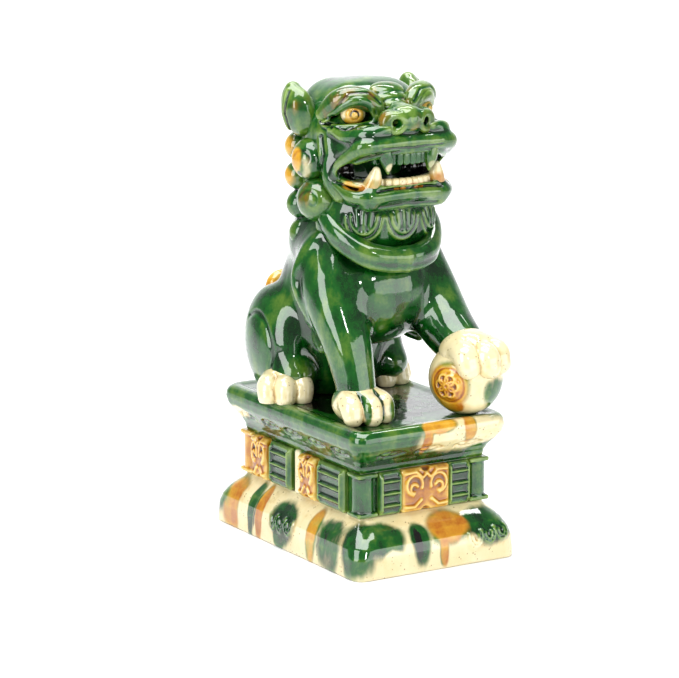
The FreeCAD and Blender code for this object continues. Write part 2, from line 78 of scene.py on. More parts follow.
# half sizes and places shared by several pieces, in millimetres
HOLLOW = (25.3, 42)
WAIST = (30.2, 46.9)
WAIST_MIDDLE = 33
POST = (27.7, 44.4)
BALL_MIDDLE = (24, -43.5, 76.6)
BALL_RADIUS = 15.8


# ------------------------------------------------------------------ shapes as distances


def smooth_min(a, b, blend):
    """The lesser of two distances, rounded over blend where they meet."""
    if blend <= 0:
        return np.minimum(a, b)
    h = np.maximum(blend - np.abs(a - b), 0.0) / blend
    return np.minimum(a, b) - h * h * blend * 0.25


def step(value, low, high):
    """0 below low, 1 above high and a smooth rise between them."""
    t = np.clip((value - low) / (high - low), 0.0, 1.0)
    return t * t * (3 - 2 * t)


def unit(v):
    """The same direction at length 1."""
    v = np.asarray(v, float)
    return v / np.linalg.norm(v)


def flip(points, side):
    """Points given for the lion's left, moved to the side asked for."""
    return [(side * x, y, z) for x, y, z in points]


def curve(points, fine=6):
    """A smooth line through the points, with fine steps between each two."""
    p = np.asarray(points, float)
    if len(p) == 2:
        return p
    ends = np.vstack([2 * p[0] - p[1], p, 2 * p[-1] - p[-2]])
    t = np.arange(fine) / fine
    basis = (-t + 2 * t**2 - t**3, 2 - 5 * t**2 + 3 * t**3, t + 4 * t**2 - 3 * t**3, t**3 - t**2)
    basis = np.stack(basis, 1) / 2
    runs = [basis @ ends[i : i + 4] for i in range(len(p) - 1)]
    return np.vstack(runs + [p[-1:]])


def to_line(coords, a, b):
    """Distance from the line a-b, and how far along it each point is, from 0 to 1."""
    run = b - a
    along = sum((c - s) * r for c, s, r in zip(coords, a, run)) / max(run @ run, 1e-9)
    along = np.clip(along, 0.0, 1.0)
    return np.sqrt(sum((c - s - along * r) ** 2 for c, s, r in zip(coords, a, run))), along


class Form:
    """A solid given by its distance function and the box that holds it."""

    def __init__(self, low, high, distance):
        self.low, self.high, self.distance = np.asarray(low, float), np.asarray(high, float), distance


def ball(centre, radii, turn=(0, 0, 0)):
    """An ellipsoid, turned in degrees about X, Y and Z."""
    c, r = np.asarray(centre, float), np.ones(3) * radii
    m = np.array(Euler([math.radians(d) for d in turn]).to_matrix())
    reach = np.sqrt(((m * r) ** 2).sum(1))

    def distance(x, y, z):
        p = (x - c[0], y - c[1], z - c[2])
        q = [sum(m[j, i] * p[j] for j in range(3)) for i in range(3)]
        k0 = np.sqrt(sum((q[i] / r[i]) ** 2 for i in range(3)))
        k1 = np.sqrt(sum((q[i] / r[i] ** 2) ** 2 for i in range(3)))
        return k0 * (k0 - 1) / np.maximum(k1, 1e-4)

    return Form(c - reach, c + reach, distance)


def slab(centre, half, rounding=0.5, turn=(0, 0, 0)):
    """A block with rounded edges, given by its half sizes."""
    c, h = np.asarray(centre, float), np.asarray(half, float) - rounding
    m = np.array(Euler([math.radians(d) for d in turn]).to_matrix())
    reach = np.abs(m) @ (h + rounding)

    def distance(x, y, z):
        p = (x - c[0], y - c[1], z - c[2])
        q = [np.abs(sum(m[j, i] * p[j] for j in range(3))) - h[i] for i in range(3)]
        outside = np.sqrt(sum(np.maximum(v, 0) ** 2 for v in q))
        return outside + np.minimum(np.maximum(np.maximum(q[0], q[1]), q[2]), 0) - rounding

    return Form(c - reach, c + reach, distance)


def stroke(points, radii, fine=7):
    """A roll of clay along a smooth line, thicker and thinner as radii says."""
    rolled = curve(np.column_stack([np.asarray(points, float), np.ones(len(points)) * radii]), fine)
    path, r = rolled[:, :3], np.maximum(rolled[:, 3], 0.2)
    big = r.max()

    def distance(x, y, z):
        best = FAR
        for a, b, ra, rb in zip(path[:-1], path[1:], r[:-1], r[1:]):
            d, along = to_line((x, y, z), a, b)
            best = np.minimum(best, d - ra - along * (rb - ra))
        return best

    return Form(path.min(0) - big, path.max(0) + big, distance)


def moulding(levels):
    """A run moulding round a rectangle; levels are (z, half width, half depth, corner radius)."""
    table = np.asarray(levels, float)
    low, high = table[0, 0], table[-1, 0]
    wide, deep = table[:, 1].max(), table[:, 2].max()

    def distance(x, y, z):
        w, d, r = (np.interp(z, table[:, 0], table[:, i]) for i in (1, 2, 3))
        qx, qy = np.abs(x) - w + r, np.abs(y) - d + r
        outside = np.sqrt(np.maximum(qx, 0) ** 2 + np.maximum(qy, 0) ** 2)
        flat = outside + np.minimum(np.maximum(qx, qy), 0) - r
        return np.maximum(flat * 0.85, np.maximum(low - z, z - high))

    return Form((-wide, -deep, low), (wide, deep, high), distance)


class Clay:
    """A block of distances that forms are added to, cut from and engraved in."""

    def __init__(self, low, high, voxel=0.5):
        voxel *= 1.0
        self.low, self.voxel = np.asarray(low, float), voxel
        self.shape = tuple(int(v) for v in np.ceil((np.asarray(high, float) - self.low) / voxel) + 1)
        self.field = np.full(self.shape, FAR, np.float32)

    def part(self, low, high):
        """The slices of the block between two corners, and the coordinates of its cells."""
        a = np.clip(np.floor((low - self.low) / self.voxel).astype(int), 0, self.shape)
        b = np.clip(np.ceil((high - self.low) / self.voxel).astype(int) + 1, 0, self.shape)
        cuts = tuple(slice(i, j) for i, j in zip(a, b))
        axes = [self.low[i] + self.voxel * np.arange(a[i], b[i], dtype=np.float32) for i in range(3)]
        return cuts, (axes[0][:, None, None], axes[1][None, :, None], axes[2][None, None, :])

    def add(self, form, blend=1.0):
        """Presses a form on, with a fillet of about blend."""
        pad = blend + 3 * self.voxel
        cuts, at = self.part(form.low - pad, form.high + pad)
        self.field[cuts] = smooth_min(self.field[cuts], form.distance(*at), blend)
        return self

    def cut(self, form, blend=0.6):
        """Takes a form away."""
        pad = blend + 3 * self.voxel
        cuts, at = self.part(form.low - pad, form.high + pad)
        self.field[cuts] = -smooth_min(-self.field[cuts], form.distance(*at), blend)
        return self

    def keep(self, form, blend=0.3):
        """Only what is inside the form stays."""
        cuts, at = self.part(self.low, self.low + np.array(self.shape) * self.voxel)
        self.field[cuts] = -smooth_min(-self.field[cuts], -form.distance(*at), blend)
        return self

    def emboss(self, at, facing, lines, width, height, reach):
        """Raises (or with a negative height sinks) the surface near at along flat lines seen from facing."""
        at, out = np.asarray(at, float), unit(facing)
        across = unit(np.cross((0, 0, 1), out))
        rise = np.cross(out, across)
        cuts, (x, y, z) = self.part(at - reach, at + reach)
        if 0 in self.field[cuts].shape:
            return self
        p = (x - at[0], y - at[1], z - at[2])
        flat = [sum(c * v for c, v in zip(p, axis)) for axis in (across, rise)]
        best = FAR
        for line in lines:
            for a, b in zip(line[:-1], line[1:]):
                best = np.minimum(best, to_line(flat, np.asarray(a, float), np.asarray(b, float))[0])
        fade = 1 - step(np.sqrt(sum(c * c for c in p)), reach * 0.75, reach)
        self.field[cuts] -= (height * np.exp(-((best / width) ** 2)) * fade).astype(np.float32)
        return self

    def surface(self):
        """The clay's skin as points in millimetres and quads."""
        grid = openvdb.FloatGrid(background=3 * self.voxel)
        grid.copyFromArray(np.clip(self.field, -3 * self.voxel, 3 * self.voxel).astype(np.float32))
        points, quads = grid.convertToQuads(0.0)
        quads = quads.astype(np.int64)
        return settled(points.astype(float), quads) * self.voxel + self.low, quads


def both(clay, points, radii, blend=1.2):
    """A roll of clay on each side."""
    for side, _ in SIDES:
        clay.add(stroke(flip(points, side), radii), blend)


# ------------------------------------------------------------------ flat line work


def spiral(size, turns, side, start):
    """A snail line from its rim in to its eye."""
    t = np.linspace(0, 1, 26)
    angle = start + side * t * turns * 2 * math.pi
    radius = size * (1 - 0.88 * t)
    return [tuple(p) for p in np.stack([radius * np.cos(angle), radius * np.sin(angle)], 1)]


def arc(centre, radii, low, high, count=14):
    """Points round an ellipse from one angle to another, in degrees."""
    angles = np.radians(np.linspace(low, high, count))
    return [(centre[0] + radii[0] * math.cos(a), centre[1] + radii[1] * math.sin(a)) for a in angles]


# ------------------------------------------------------------------ meshes, colour masks and pieces


def edge_list(quads):
    """Every side of every quad, so each edge of a closed mesh comes once in each direction."""
    return np.concatenate([quads[:, [i, (i + 1) % 4]] for i in range(4)])


def relaxed(points, edges, pull):
    """Points drawn towards the mean of their neighbours, or pushed off it when pull is negative."""
    degree = np.maximum(np.bincount(edges[:, 0], minlength=len(points)), 1)[:, None]
    total = np.stack([np.bincount(edges[:, 0], points[edges[:, 1], i], len(points)) for i in range(3)], 1)
    return points + pull * (total / degree - points)


def settled(points, quads):
    """The surface without the ripple of its cells, at its full size."""
    edges = edge_list(quads)
    for pull in (0.55, -0.57) * 3:
        points = relaxed(points, edges, pull)
    return points


def point_normals(points, quads):
    """The outward direction at every point, weighted by the area of its quads."""
    corners = points[quads]
    face = np.cross(corners[:, 2] - corners[:, 0], corners[:, 3] - corners[:, 1])
    total = np.zeros_like(points)
    for axis in range(3):
        weights = np.repeat(face[:, axis], 4)
        total[:, axis] = np.bincount(quads.ravel(), weights, len(points))
    return total / np.maximum(np.linalg.norm(total, axis=1), 1e-9)[:, None]


def hollowness(points, quads, reach):
    """How far each point lies below its surroundings within about reach, in millimetres."""
    edges = edge_list(quads)
    spacing = np.linalg.norm(points[edges[:500, 0]] - points[edges[:500, 1]], axis=1).mean()
    smooth = points.copy()
    for _ in range(int(max(2, (reach / spacing) ** 2))):
        smooth = relaxed(smooth, edges, 0.5)
    return ((smooth - points) * point_normals(points, quads)).sum(1)


# the near-black share is real near-black glaze on the pupils and foot streaks, and painted shade in the
# mouth, the nostrils and the sunk field of the slab
COLOURS = ("amber", "cream", "dark_glaze_and_painted_shade")


def masks(points, base, spots):
    """The share of each glaze at every point, and green where there is none of them; the near-black share is
    partly painted shade.

    A spot is (colour, centre, radii) and perhaps its strength.
    """
    share = {name: np.full(len(points), float(name == base)) for name in COLOURS}
    for colour, centre, radii, *strength in spots:
        away = np.sqrt((((points - np.asarray(centre)) / (np.ones(3) * radii)) ** 2).sum(1))
        amount = (1 - step(away, 0.65, 1.35)) * (strength[0] if strength else 1.0)
        for name in COLOURS:
            share[name] = share[name] * (1 - amount) + amount * (name == colour)
    return share


def make_mesh(name, points, quads):
    """A smooth-shaded mesh in metres."""
    mesh = bpy.data.meshes.new(name)
    mesh.vertices.add(len(points))
    mesh.vertices.foreach_set("co", (points * MM).astype(np.float32).ravel())
    mesh.loops.add(quads.size)
    mesh.loops.foreach_set("vertex_index", quads.astype(np.int32).ravel())
    mesh.polygons.add(len(quads))
    mesh.polygons.foreach_set("loop_start", np.arange(0, quads.size, 4, dtype=np.int32))
    mesh.update(calc_edges=True)
    mesh.validate()
    mesh.shade_smooth()
    return mesh


def set_attribute(mesh, name, values):
    """Stores one number for every point."""
    mesh.attributes.new(name, "FLOAT", "POINT").data.foreach_set("value", values.astype(np.float32))


def piece(name, clay, nodes, base="green", spots=()):
    """Turns clay into an object that stands for the CAD nodes named, with its glaze and painted-shade masks
    as attributes.
    """
    points, quads = clay.surface()
    if len(quads) == 0:
        raise RuntimeError(f"{name} came out empty")
    mesh = make_mesh(name, points, quads)
    if len(mesh.vertices) != len(points):
        raise RuntimeError(f"{name} lost points when its mesh was validated")
    set_attribute(mesh, "crease", np.clip(hollowness(points, quads, 1.1) / 0.35, -1, 1))
    set_attribute(mesh, "pool", np.clip(hollowness(points, quads, 2.6) / 1.2, -1, 1))
    for colour, share in masks(points, base, spots).items():
        set_attribute(mesh, colour, share)
    mesh.materials.append(glaze())
    obj = bpy.data.objects.new(name, mesh)
    bpy.context.scene.collection.objects.link(obj)
    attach(obj, "root")
    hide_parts(*nodes)


# ------------------------------------------------------------------ glaze


class Tree:
    """Short ways to add and join shader nodes."""

    def __init__(self, tree):
        self.tree = tree
        tree.nodes.clear()

    def node(self, kind, inputs=(), **settings):
        """A new node whose inputs are given values or joined to sockets."""
        n = self.tree.nodes.new(kind)
        for key, value in settings.items():
            setattr(n, key, value)
        for key, value in dict(inputs).items():
            if isinstance(value, bpy.types.NodeSocket):
                self.tree.links.new(value, n.inputs[key])
            else:
                n.inputs[key].default_value = value
        return n

    def math(self, operation, a, b=0.0):
        """One sum of two values."""
        return self.node("ShaderNodeMath", {0: a, 1: b}, operation=operation).outputs[0]

    def attribute(self, name):
        """A value stored on the points."""
        return self.node("ShaderNodeAttribute", attribute_name=name).outputs["Fac"]

    def noise(self, where, scale, detail=2.0):
        """Clouds between 0 and 1."""
        inputs = {"Vector": where, "Scale": scale, "Detail": detail}
        return self.node("ShaderNodeTexNoise", inputs).outputs["Fac"]

    def between(self, value, low, high):
        """0 at low, 1 at high and smooth in between."""
        inputs = {"Value": value, "From Min": low, "From Max": high}
        return self.node("ShaderNodeMapRange", inputs, interpolation_type="SMOOTHSTEP").outputs["Result"]

    def ramp(self, value, stops, main=None):
        """A colour ramp whose stops are (place, colour), with main where a stop has no colour of its own."""
        n = self.node("ShaderNodeValToRGB", {"Fac": value})
        for index, (place, colour) in enumerate(stops):
            if index < 2:
                element = n.color_ramp.elements[index]
                element.position = place
            else:
                element = n.color_ramp.elements.new(place)
            element.color = (*(colour or main), 1)
        return n.outputs["Color"]

    def mix(self, share, a, b):
        """From colour a to colour b as share goes from 0 to 1."""
        return self.node("ShaderNodeMix", {0: share, 6: a, 7: b}, data_type="RGBA").outputs[2]


# glaze colours from thin to pooled; None is the colour at its usual depth, which the settings give
GREEN_RAMP = (
    (0.0, (0.22, 0.34, 0.07)), (0.27, (0.095, 0.19, 0.022)), (0.44, None),
    (0.60, (0.0006, 0.034, 0.004)), (1.0, (0.0002, 0.006, 0.0016)),
)
AMBER_RAMP = (
    (0.0, (0.82, 0.60, 0.18)), (0.36, None), (0.60, (0.44, 0.15, 0.008)), (1.0, (0.04, 0.008, 0.002)),
)
CREAM_RAMP = (
    (0.0, (0.86, 0.77, 0.52)), (0.45, None), (0.68, (0.48, 0.32, 0.11)), (1.0, (0.08, 0.04, 0.01)),
)


def glaze():
    """Three runny lead glazes under one glassy surface: they run down, pool in creases and thin on edges."""
    name = "sancai_glaze"
    if name in bpy.data.materials:
        return bpy.data.materials[name]
    material = bpy.data.materials.new(name)
    material.use_nodes = True
    colours = bpy.context.scene.lion_sizes
    t = Tree(material.node_tree)
    where = t.node("ShaderNodeTexCoord").outputs["Object"]
    running = t.node("ShaderNodeMapping", {"Vector": where, "Scale": (1.0, 1.0, 0.35)}).outputs["Vector"]
    cloud = t.noise(where, 70.0, 3.0)
    streaks = t.noise(running, 210.0, 3.0)
    grain = t.noise(where, 900.0, 2.0)
    depth = t.math("MULTIPLY_ADD", t.attribute("crease"), 0.52)
    depth.node.inputs[2].default_value = 0.50
    depth = t.math("ADD", depth, t.math("MULTIPLY", t.attribute("pool"), 0.40))
    for source, amount in ((cloud, 0.75), (streaks, 0.45), (grain, 0.15)):
        depth = t.math("ADD", depth, t.math("MULTIPLY", t.math("SUBTRACT", source, 0.5), amount))
    green = t.ramp(depth, GREEN_RAMP, colours.green)
    amber = t.ramp(depth, AMBER_RAMP, colours.amber)
    cream = t.ramp(t.math("SUBTRACT", depth, 0.14), CREAM_RAMP, colours.cream)
    specks = t.node("ShaderNodeTexVoronoi", {"Vector": where, "Scale": 620.0}).outputs["Distance"]
    rare = t.between(t.noise(where, 330.0, 1.0), 0.50, 0.62)
    specks = t.math("MULTIPLY", t.between(specks, 0.30, 0.12), rare)
    cream = t.mix(t.math("MULTIPLY", specks, 0.75), cream, (0.16, 0.075, 0.02, 1))
    wander = t.math("ADD", t.math("MULTIPLY", t.math("SUBTRACT", streaks, 0.5), 0.9),
                    t.math("MULTIPLY", t.math("SUBTRACT", cloud, 0.5), 0.7))

    def cover(attribute, edge=0.16):
        """A glaze's share with a run and wandering edge."""
        raw = t.attribute(attribute)
        border = t.math("MULTIPLY", t.between(raw, 0.0, 0.15), t.between(raw, 1.0, 0.85))
        inner = t.math("MULTIPLY", wander, border)
        return t.between(t.math("ADD", raw, inner), 0.5 - edge, 0.5 + edge)

    colour = t.mix(cover("cream", 0.34), green, cream)
    colour = t.mix(cover("amber", 0.34), colour, amber)
    # near-black mix: glaze colour in some spots, painted shade in the mouth, the nostrils and the slab field
    colour = t.mix(cover("dark_glaze_and_painted_shade", 0.1), colour, (0.004, 0.002, 0.0015, 1))
    waves = t.noise(where, 120.0, 1.5)
    skin = t.noise(where, 1500.0, 1.0)
    height = t.math("ADD", waves, t.math("MULTIPLY", skin, 0.035))
    bump = t.node("ShaderNodeBump", {"Height": height, "Strength": 0.4, "Distance": 0.0005})
    shader = t.node("ShaderNodeBsdfPrincipled", {
        "Base Color": colour, "Roughness": 0.3, "Specular IOR Level": 0.12, "IOR": 1.5,
        "Coat Weight": 1.0, "Coat Roughness": 0.03, "Coat IOR": 1.85,
        "Normal": bump.outputs["Normal"], "Coat Normal": bump.outputs["Normal"],
    })
    out = t.node("ShaderNodeOutputMaterial", {"Surface": shader.outputs[0]})
    out.is_active_output = True
    return material


# ------------------------------------------------------------------ plinth


# mouldings as (z, half width, half depth, corner radius)
FOOT = (
    (0.0, 39.6, 59.6, 5.0), (1.0, 40.0, 60.0, 5.5), (9.0, 40.0, 60.0, 7.0), (13.0, 39.2, 59.0, 8.5),
    (16.5, 37.4, 56.8, 9.5), (19.0, 35.2, 54.0, 9.0), (21.0, 33.0, 51.0, 7.5), (22.6, 31.4, 48.8, 5.0),
    (23.5, 31.0, 48.0, 3.0),
)
SLAB = (
    (42.4, 30.8, 47.4, 2.5), (44.0, 31.4, 48.2, 3.0), (45.2, 31.6, 48.4, 3.5), (48.0, 33.0, 50.4, 4.5),
    (51.5, 35.6, 54.0, 6.0), (54.0, 37.2, 56.0, 6.5), (57.0, 38.0, 57.0, 7.0), (59.5, 37.7, 56.7, 7.0),
    (61.2, 36.6, 55.6, 6.5), (62.0, 35.2, 54.2, 6.0),
)
LEAF = [
    arc((0, 0), (6.5, 2.3), 20, 200),
    [(-6.3, 0.8), (-2.5, -1.2), (2.0, -0.6), (6.5, 0.6)],
    arc((1.5, 0.2), (2.4, 1.1), -40, 200),
]
SCALLOPS = [arc((x, 0), (3.1, 4.6), -200, 20) for x in (-6.4, 0, 6.4)]
SCALLOPS += [arc((x, -0.5), (1.5, 2.6), -190, 10) for x in (-6.4, 0, 6.4)]
FOOT_SPOTS = (
    ("green", (-36, -54, 16), (9, 9, 18)), ("green", (-24, -58, 17), (9, 8, 10)),
    ("green", (27, -56, 15), (13, 9, 9)),
    ("amber", (7, -56, 17), (10, 9, 8), 0.85), ("amber", (3, -60, 7), (2.2, 5, 6), 0.8),
    ("cream", (16, -59, 8), (6, 6, 5), 0.6), ("green", (-8, -58, 14), (4.5, 6, 12)),
    ("dark_glaze_and_painted_shade", (-9, -58, 13), (1.8, 5, 9), 0.6), ("cream", (-22, -61, 6), (5, 5, 6)),
    ("green", (-40, -37, 12), (8, 8, 18), 0.8), ("dark_glaze_and_painted_shade", (-40, -30, 14), (8, 5, 13), 0.45),
    ("amber", (-39, -22, 15), (8, 4, 18), 0.8),
    ("green", (-40, 1, 13), (8, 10, 11)), ("green", (-40, 4, 4), (6, 4, 6)),
    ("amber", (-39, 21, 16), (8, 3, 18)),
    ("dark_glaze_and_painted_shade", (-39, 25.5, 16), (8, 1.8, 14), 0.5), ("green", (-39, 28, 14), (8, 2.6, 20)),
    ("amber", (-39, 44, 15), (8, 9, 20), 0.75), ("cream", (-39, 36, 9), (6, 3, 12), 0.7),
    ("green", (39, -30, 12), (8, 22, 10)), ("green", (39, 22, 14), (8, 12, 10)),
    ("amber", (39, 2, 15), (8, 6, 15)),
    ("green", (0, 59, 14), (14, 8, 10)), ("amber", (-19, 58, 14), (7, 8, 13)),
    ("amber", (24, 58, 15), (6, 8, 13)),
    ("green", (-37, 57, 14), (7, 7, 12)), ("green", (37, 55, 12), (7, 7, 9)),
)
SLAB_SPOTS = (
    # the first spot is painted shade: a near-black sheet over the sunk field under the lion
    ("dark_glaze_and_painted_shade", (-3, 6, 61.4), (32, 52, 0.9), 0.62),
    ("cream", (14, -58, 54), (21, 9, 11)), ("cream", (31, -56, 57), (10, 6, 5), 0.55),
    ("amber", (3, -57, 61), (8.5, 7, 3.4)),
    ("amber", (-3, -57, 53), (2.4, 7, 9), 0.8), ("amber", (18, -56, 58), (3.0, 7, 7), 0.8),
    ("green", (30, -52, 47), (7, 9, 2.6), 0.6),
    ("cream", (38, -12, 53), (6, 12, 6)), ("amber", (38, 20, 54), (6, 5, 8)),
    ("cream", (-12, 57, 53), (12, 7, 6)),
    ("amber", (12, 57, 54), (5, 7, 8)), ("cream", (-38, 44, 50), (5, 8, 4)),
)


def build_foot(sizes):
    """The foot of the plinth, hollow underneath, with scallops on its sides."""
    clay = Clay((-42, -62, -1), (42, 62, 24.5), sizes.grain)
    clay.add(moulding(FOOT), 0)
    clay.cut(slab((0, 0, 8), (*HOLLOW, 30), 1.0), 0)
    clay.cut(moulding([(-1, 34.5, 54.5, 4), (6, 34, 54, 4), (15, 27, 44, 3)]), 0)
    for at, facing in (((25, -58, 12), (0.3, -1, 0.5)), ((-39, 2, 12), (-1, 0, 0.5)),
                       ((39, -30, 12), (1, 0, 0.5)), ((39, 22, 12), (1, 0, 0.5)),
                       ((0, 59, 12), (0, 1, 0.5))):
        clay.emboss(at, facing, SCALLOPS, 0.75, 0.9, 16)
    piece("lion_plinth_foot", clay, ["plinth_foot"], "cream", FOOT_SPOTS)


def build_waist(sizes):
    """The plain wall behind the ornament."""
    clay = Clay((-35, -51, 22.5), (35, 51, 43.5), sizes.grain)
    clay.add(slab((0, 0, WAIST_MIDDLE), (30.3, 47, 9.9), 0.4), 0)
    clay.cut(slab((0, 0, WAIST_MIDDLE), (*HOLLOW, 20), 0.5), 0)
    for side in (-1, 1):
        clay.add(slab((side * 30.6, 1, WAIST_MIDDLE), (1.6, 2.6, 9.7), 0.8), 0.8)
    piece("lion_plinth_waist", clay, ["plinth_waist"], "green", [("cream", (-32, 1, 33), (3, 3, 12))])


def build_slab(sizes):
    """The slab with its sunk field, its vent and the leaves under its rim."""
    clay = Clay((-39.5, -58.5, 41.5), (39.5, 58.5, 63.5), sizes.grain)
    clay.add(moulding(SLAB), 0)
    clay.cut(slab((0, 0, 72), (32.6, 51.6, 10.6), 3.0), 1.6)
    clay.cut(slab((0, 0, 46), (*HOLLOW, 11), 0.5), 0)
    clay.cut(stroke([(0, 26, 50), (0, 26, 70)], 7), 0)
    for y in np.linspace(-38, 38, 5):
        for side in (-1, 1):
            clay.emboss((side * 34.5, y, 50), (side, 0, -0.7), LEAF, 0.6, -0.8, 10)
    for x in (-19, 0, 19):
        for side in (-1, 1):
            clay.emboss((x, side * 53, 50), (0, side, -0.7), LEAF, 0.6, -0.8, 10)
    piece("lion_plinth_slab", clay, ["plinth_slab"], "green", SLAB_SPOTS)


def scroll_lines(half):
    """A mirrored pair of hooked scrolls joined in the middle."""
    lines = []
    for side in (-1, 1):
        hook = arc((0, 0), (half * 0.33, 4.2), 200, -80) + arc((0.2, -1.6), (half * 0.16, 1.9), -90, 150, 8)
        lines.append([(side * (half * 0.50 + x), 2.2 + y) for x, y in hook])
        lines.append([(side * half * 0.86, -7), (side * half * 0.5, -7.2), (side * half * 0.22, -4.5)])
        lines.append([
            (side * half * 0.86, 7.6), (side * half * 0.45, 7.8), (side * half * 0.16, 5.0), (0, 6.8),
        ])
    return lines


def fret_lines(half):
    """Three rails between two stiles."""
    rails = [[(-half * 0.8, z), (half * 0.8, z)] for z in (-5.2, 0.0, 5.2)]
    return rails + [[(side * half * 0.82, -7), (side * half * 0.82, 7)] for side in (-1, 1)]


def build_posts(grain):
    """A rod with a flat cap and foot at each corner of the waist."""
    for side, word in SIDES:
        for end, way in (("front", -1), ("rear", 1)):
            x, y = side * POST[0], way * POST[1]
            clay = Clay((x - 7, y - 7, 22.5), (x + 7, y + 7, 43.5), grain * 0.8)
            clay.add(stroke([(x, y, 24), (x, y, 42)], 4.6), 0)
            for z in (24.6, 41.4):
                clay.add(slab((x, y, z), (4.9, 4.9, 1.0), 0.8), 0.6)
            clay.cut(slab((0, 0, WAIST_MIDDLE), (*WAIST, 30), 0.3), 0)
            clay.keep(slab((x, y, WAIST_MIDDLE), (8, 8, 9.4), 0.3))
            name = f"{word}_{end}_post"
            piece(f"lion_{name}", clay, [name], "amber" if end == "rear" and side < 0 else "green")


def panel_list():
    """Each panel's name, middle, outward direction, half width, glaze and whether it carries scrolls."""
    panels = []
    for end, way in (("front", -1), ("back", 1)):
        at = (0, way * 48, WAIST_MIDDLE)
        panels.append((f"{end}_scroll_plaque", at, (0, way), 11.8, "amber", True))
    for end, way in (("front", -1), ("back", 1)):
        for side, word in SIDES:
            at = (side * 17, way * 47.7, WAIST_MIDDLE)
            panels.append((f"{end}_{word}_fret", at, (0, way), 5.4, "green", False))
    bays = (
        ("rear_scroll", 31.5, 6.2, "amber", True), ("rear_fret", 14.5, 8.6, "green", False),
        ("front_scroll", -8.5, 6.4, "amber", True), ("front_fret", -27, 10.5, "green", False),
    )
    for side, word in SIDES:
        for name, y, half, colour, scroll in bays:
            at = (side * 31.2, y, WAIST_MIDDLE)
            panels.append((f"{word}_{name}", at, (side, 0), half, colour, scroll))
    return panels


def build_ornament(sizes):
    """Posts, scroll plaques and fret panels."""
    build_posts(sizes.grain)
    for name, at, out, half, colour, scroll in panel_list():
        thick = 2.2 if scroll else 1.7
        size = (half, thick, 9.3) if out[1] else (thick, half, 9.3)
        clay = Clay(np.array(at) - size - 1.5, np.array(at) + size + 1.5, sizes.grain * 0.7)
        clay.add(slab(at, size, 1.2), 0)
        facing = (*out, 0)
        lines = scroll_lines(half) if scroll else fret_lines(half)
        clay.emboss(at, facing, lines, 0.8, 1.1 if scroll else 1.3, 16)
        if scroll:
            for z in (9.6, -9.6):
                clay.cut(ball((at[0] + out[0] * 2, at[1] + out[1] * 2, at[2] + z), (2.2, 2.2, 2.0)), 0.5)
        clay.cut(slab((0, 0, WAIST_MIDDLE), (*WAIST, 30), 0.2), 0)
        piece(f"lion_{name}", clay, [name], colour)


# ------------------------------------------------------------------ body


def trunk_form(clay):
    """Chest, neck and rump, the masses that the limbs and the collar lie on."""
    clay.add(ball((0, -5, 112), (27.5, 26, 25)), 0)
    clay.add(ball((0, 7, 130), (28.5, 27, 21)), 8)
    clay.add(ball((0, 24, 100), (25, 22, 34)), 10)
    clay.add(ball((0, 27, 76), (22, 20, 22)), 6)
    return clay


def off_the_field(clay, top):
    """Cuts away what would sink below the slab's field."""
    clay.cut(slab((0, 0, 30), (60, 90, top - 30), 0), 0)


def build_body(sizes):
    """Trunk, haunches, forelegs and locks, smoothed together as wet clay is."""
    clay = trunk_form(Clay((-41, -57, 58), (41, 61, 150), sizes.grain * 1.4))
    for side, _ in SIDES:
        clay.add(ball((side * 21.5, 34, 83), (13.5, 21, 25), (-10, 0, side * 6)), 5)
        clay.add(ball((side * 24, 20, 72), (9, 12, 8)), 5)
    right = [(-20, -4, 127), (-22.5, -12, 112), (-22, -22, 94), (-21.5, -28, 78), (-21.5, -30, 68)]
    left = [(20, -4, 127), (23, -14, 110), (24, -27, 97), (24.5, -38, 90)]
    clay.add(stroke(right, (12, 12.5, 10.5, 8.6, 8.4), 18), 5)
    clay.add(stroke(left, (12.5, 13, 11.8, 10.4), 24), 5)
    for side, _ in SIDES:
        lock = [(20.5, -8, 139), (30, -4, 129), (33, -1, 117), (31.5, -6, 105), (28, -13, 94)]
        clay.add(stroke(flip(lock, side), (2.2, 2.8, 2.8, 2.4, 1.4)), 2.6)
        for y, z in ((4, 113), (6, 103), (4, 93)):
            x = 19 + (z - 93) * 0.32
            wisp = [(x + 5, y - 11, z - 5), (x + 3, y - 5, z - 3), (x + 1, y, z + 1), (x, y + 3, z + 5)]
            clay.add(stroke(flip(wisp, side), (2.6, 3.2, 3.0, 2.2)), 3.0)
        clay.emboss((side * 33, 34, 80), (side, 0.2, 0), [arc((0, -2), (13, 19), -30, 120)], 1.0, -0.8, 26)
    for z, half in ((96, 2), (104, 3), (112, 4), (120, 4), (88, 2)):
        clay.add(ball((0, 46 - (z - 88) * 0.22, z), (half + 2, 3.5, 4.2), (-20, 0, 0)), 1.0)
    off_the_field(clay, 61.4)
    clay.cut(ball((0, 26, 84), (14, 14, 24)), 0)
    spots = [("amber", (-30, 14, 62), (9, 8, 2.5)), ("cream", (-21, -34, 69), (4, 6, 7)),
             ("amber", (30, 14, 62), (9, 8, 2.5))]
    pairs = ("haunch", "foreleg", "shoulder_lock")
    nodes = ["trunk"] + [f"{word}_{part}" for part in pairs for _, word in SIDES]
    piece("lion_body", clay, nodes, "green", spots)


def paw(clay, centre, turn, size):
    """Three rounded toes and a pad, pointing along -Y before the turn about Z."""
    c, s = math.cos(math.radians(turn)), math.sin(math.radians(turn))

    def at(x, y, z):
        return (centre[0] + size * (c * x - s * y), centre[1] + size * (s * x + c * y),
                centre[2] + size * z)

    clay.add(ball(at(0, 4, 1), np.array((11, 11, 9)) * size, (0, 0, turn)), 2)
    for x, y in ((-7.2, -3.5), (0, -6.5), (7.2, -3.5)):
        clay.add(stroke([at(x * 0.8, 4, 3), at(x, y, 1.5), at(x * 1.02, y - 2.5, -2.5)],
                        np.array((4.6, 5.0, 4.4)) * size), 0.9)
        clay.cut(stroke([at(x - 1.2, y - 7.2, -2), at(x - 0.6, y - 8.2, 0.6)], 0.5 * size), 0.4)


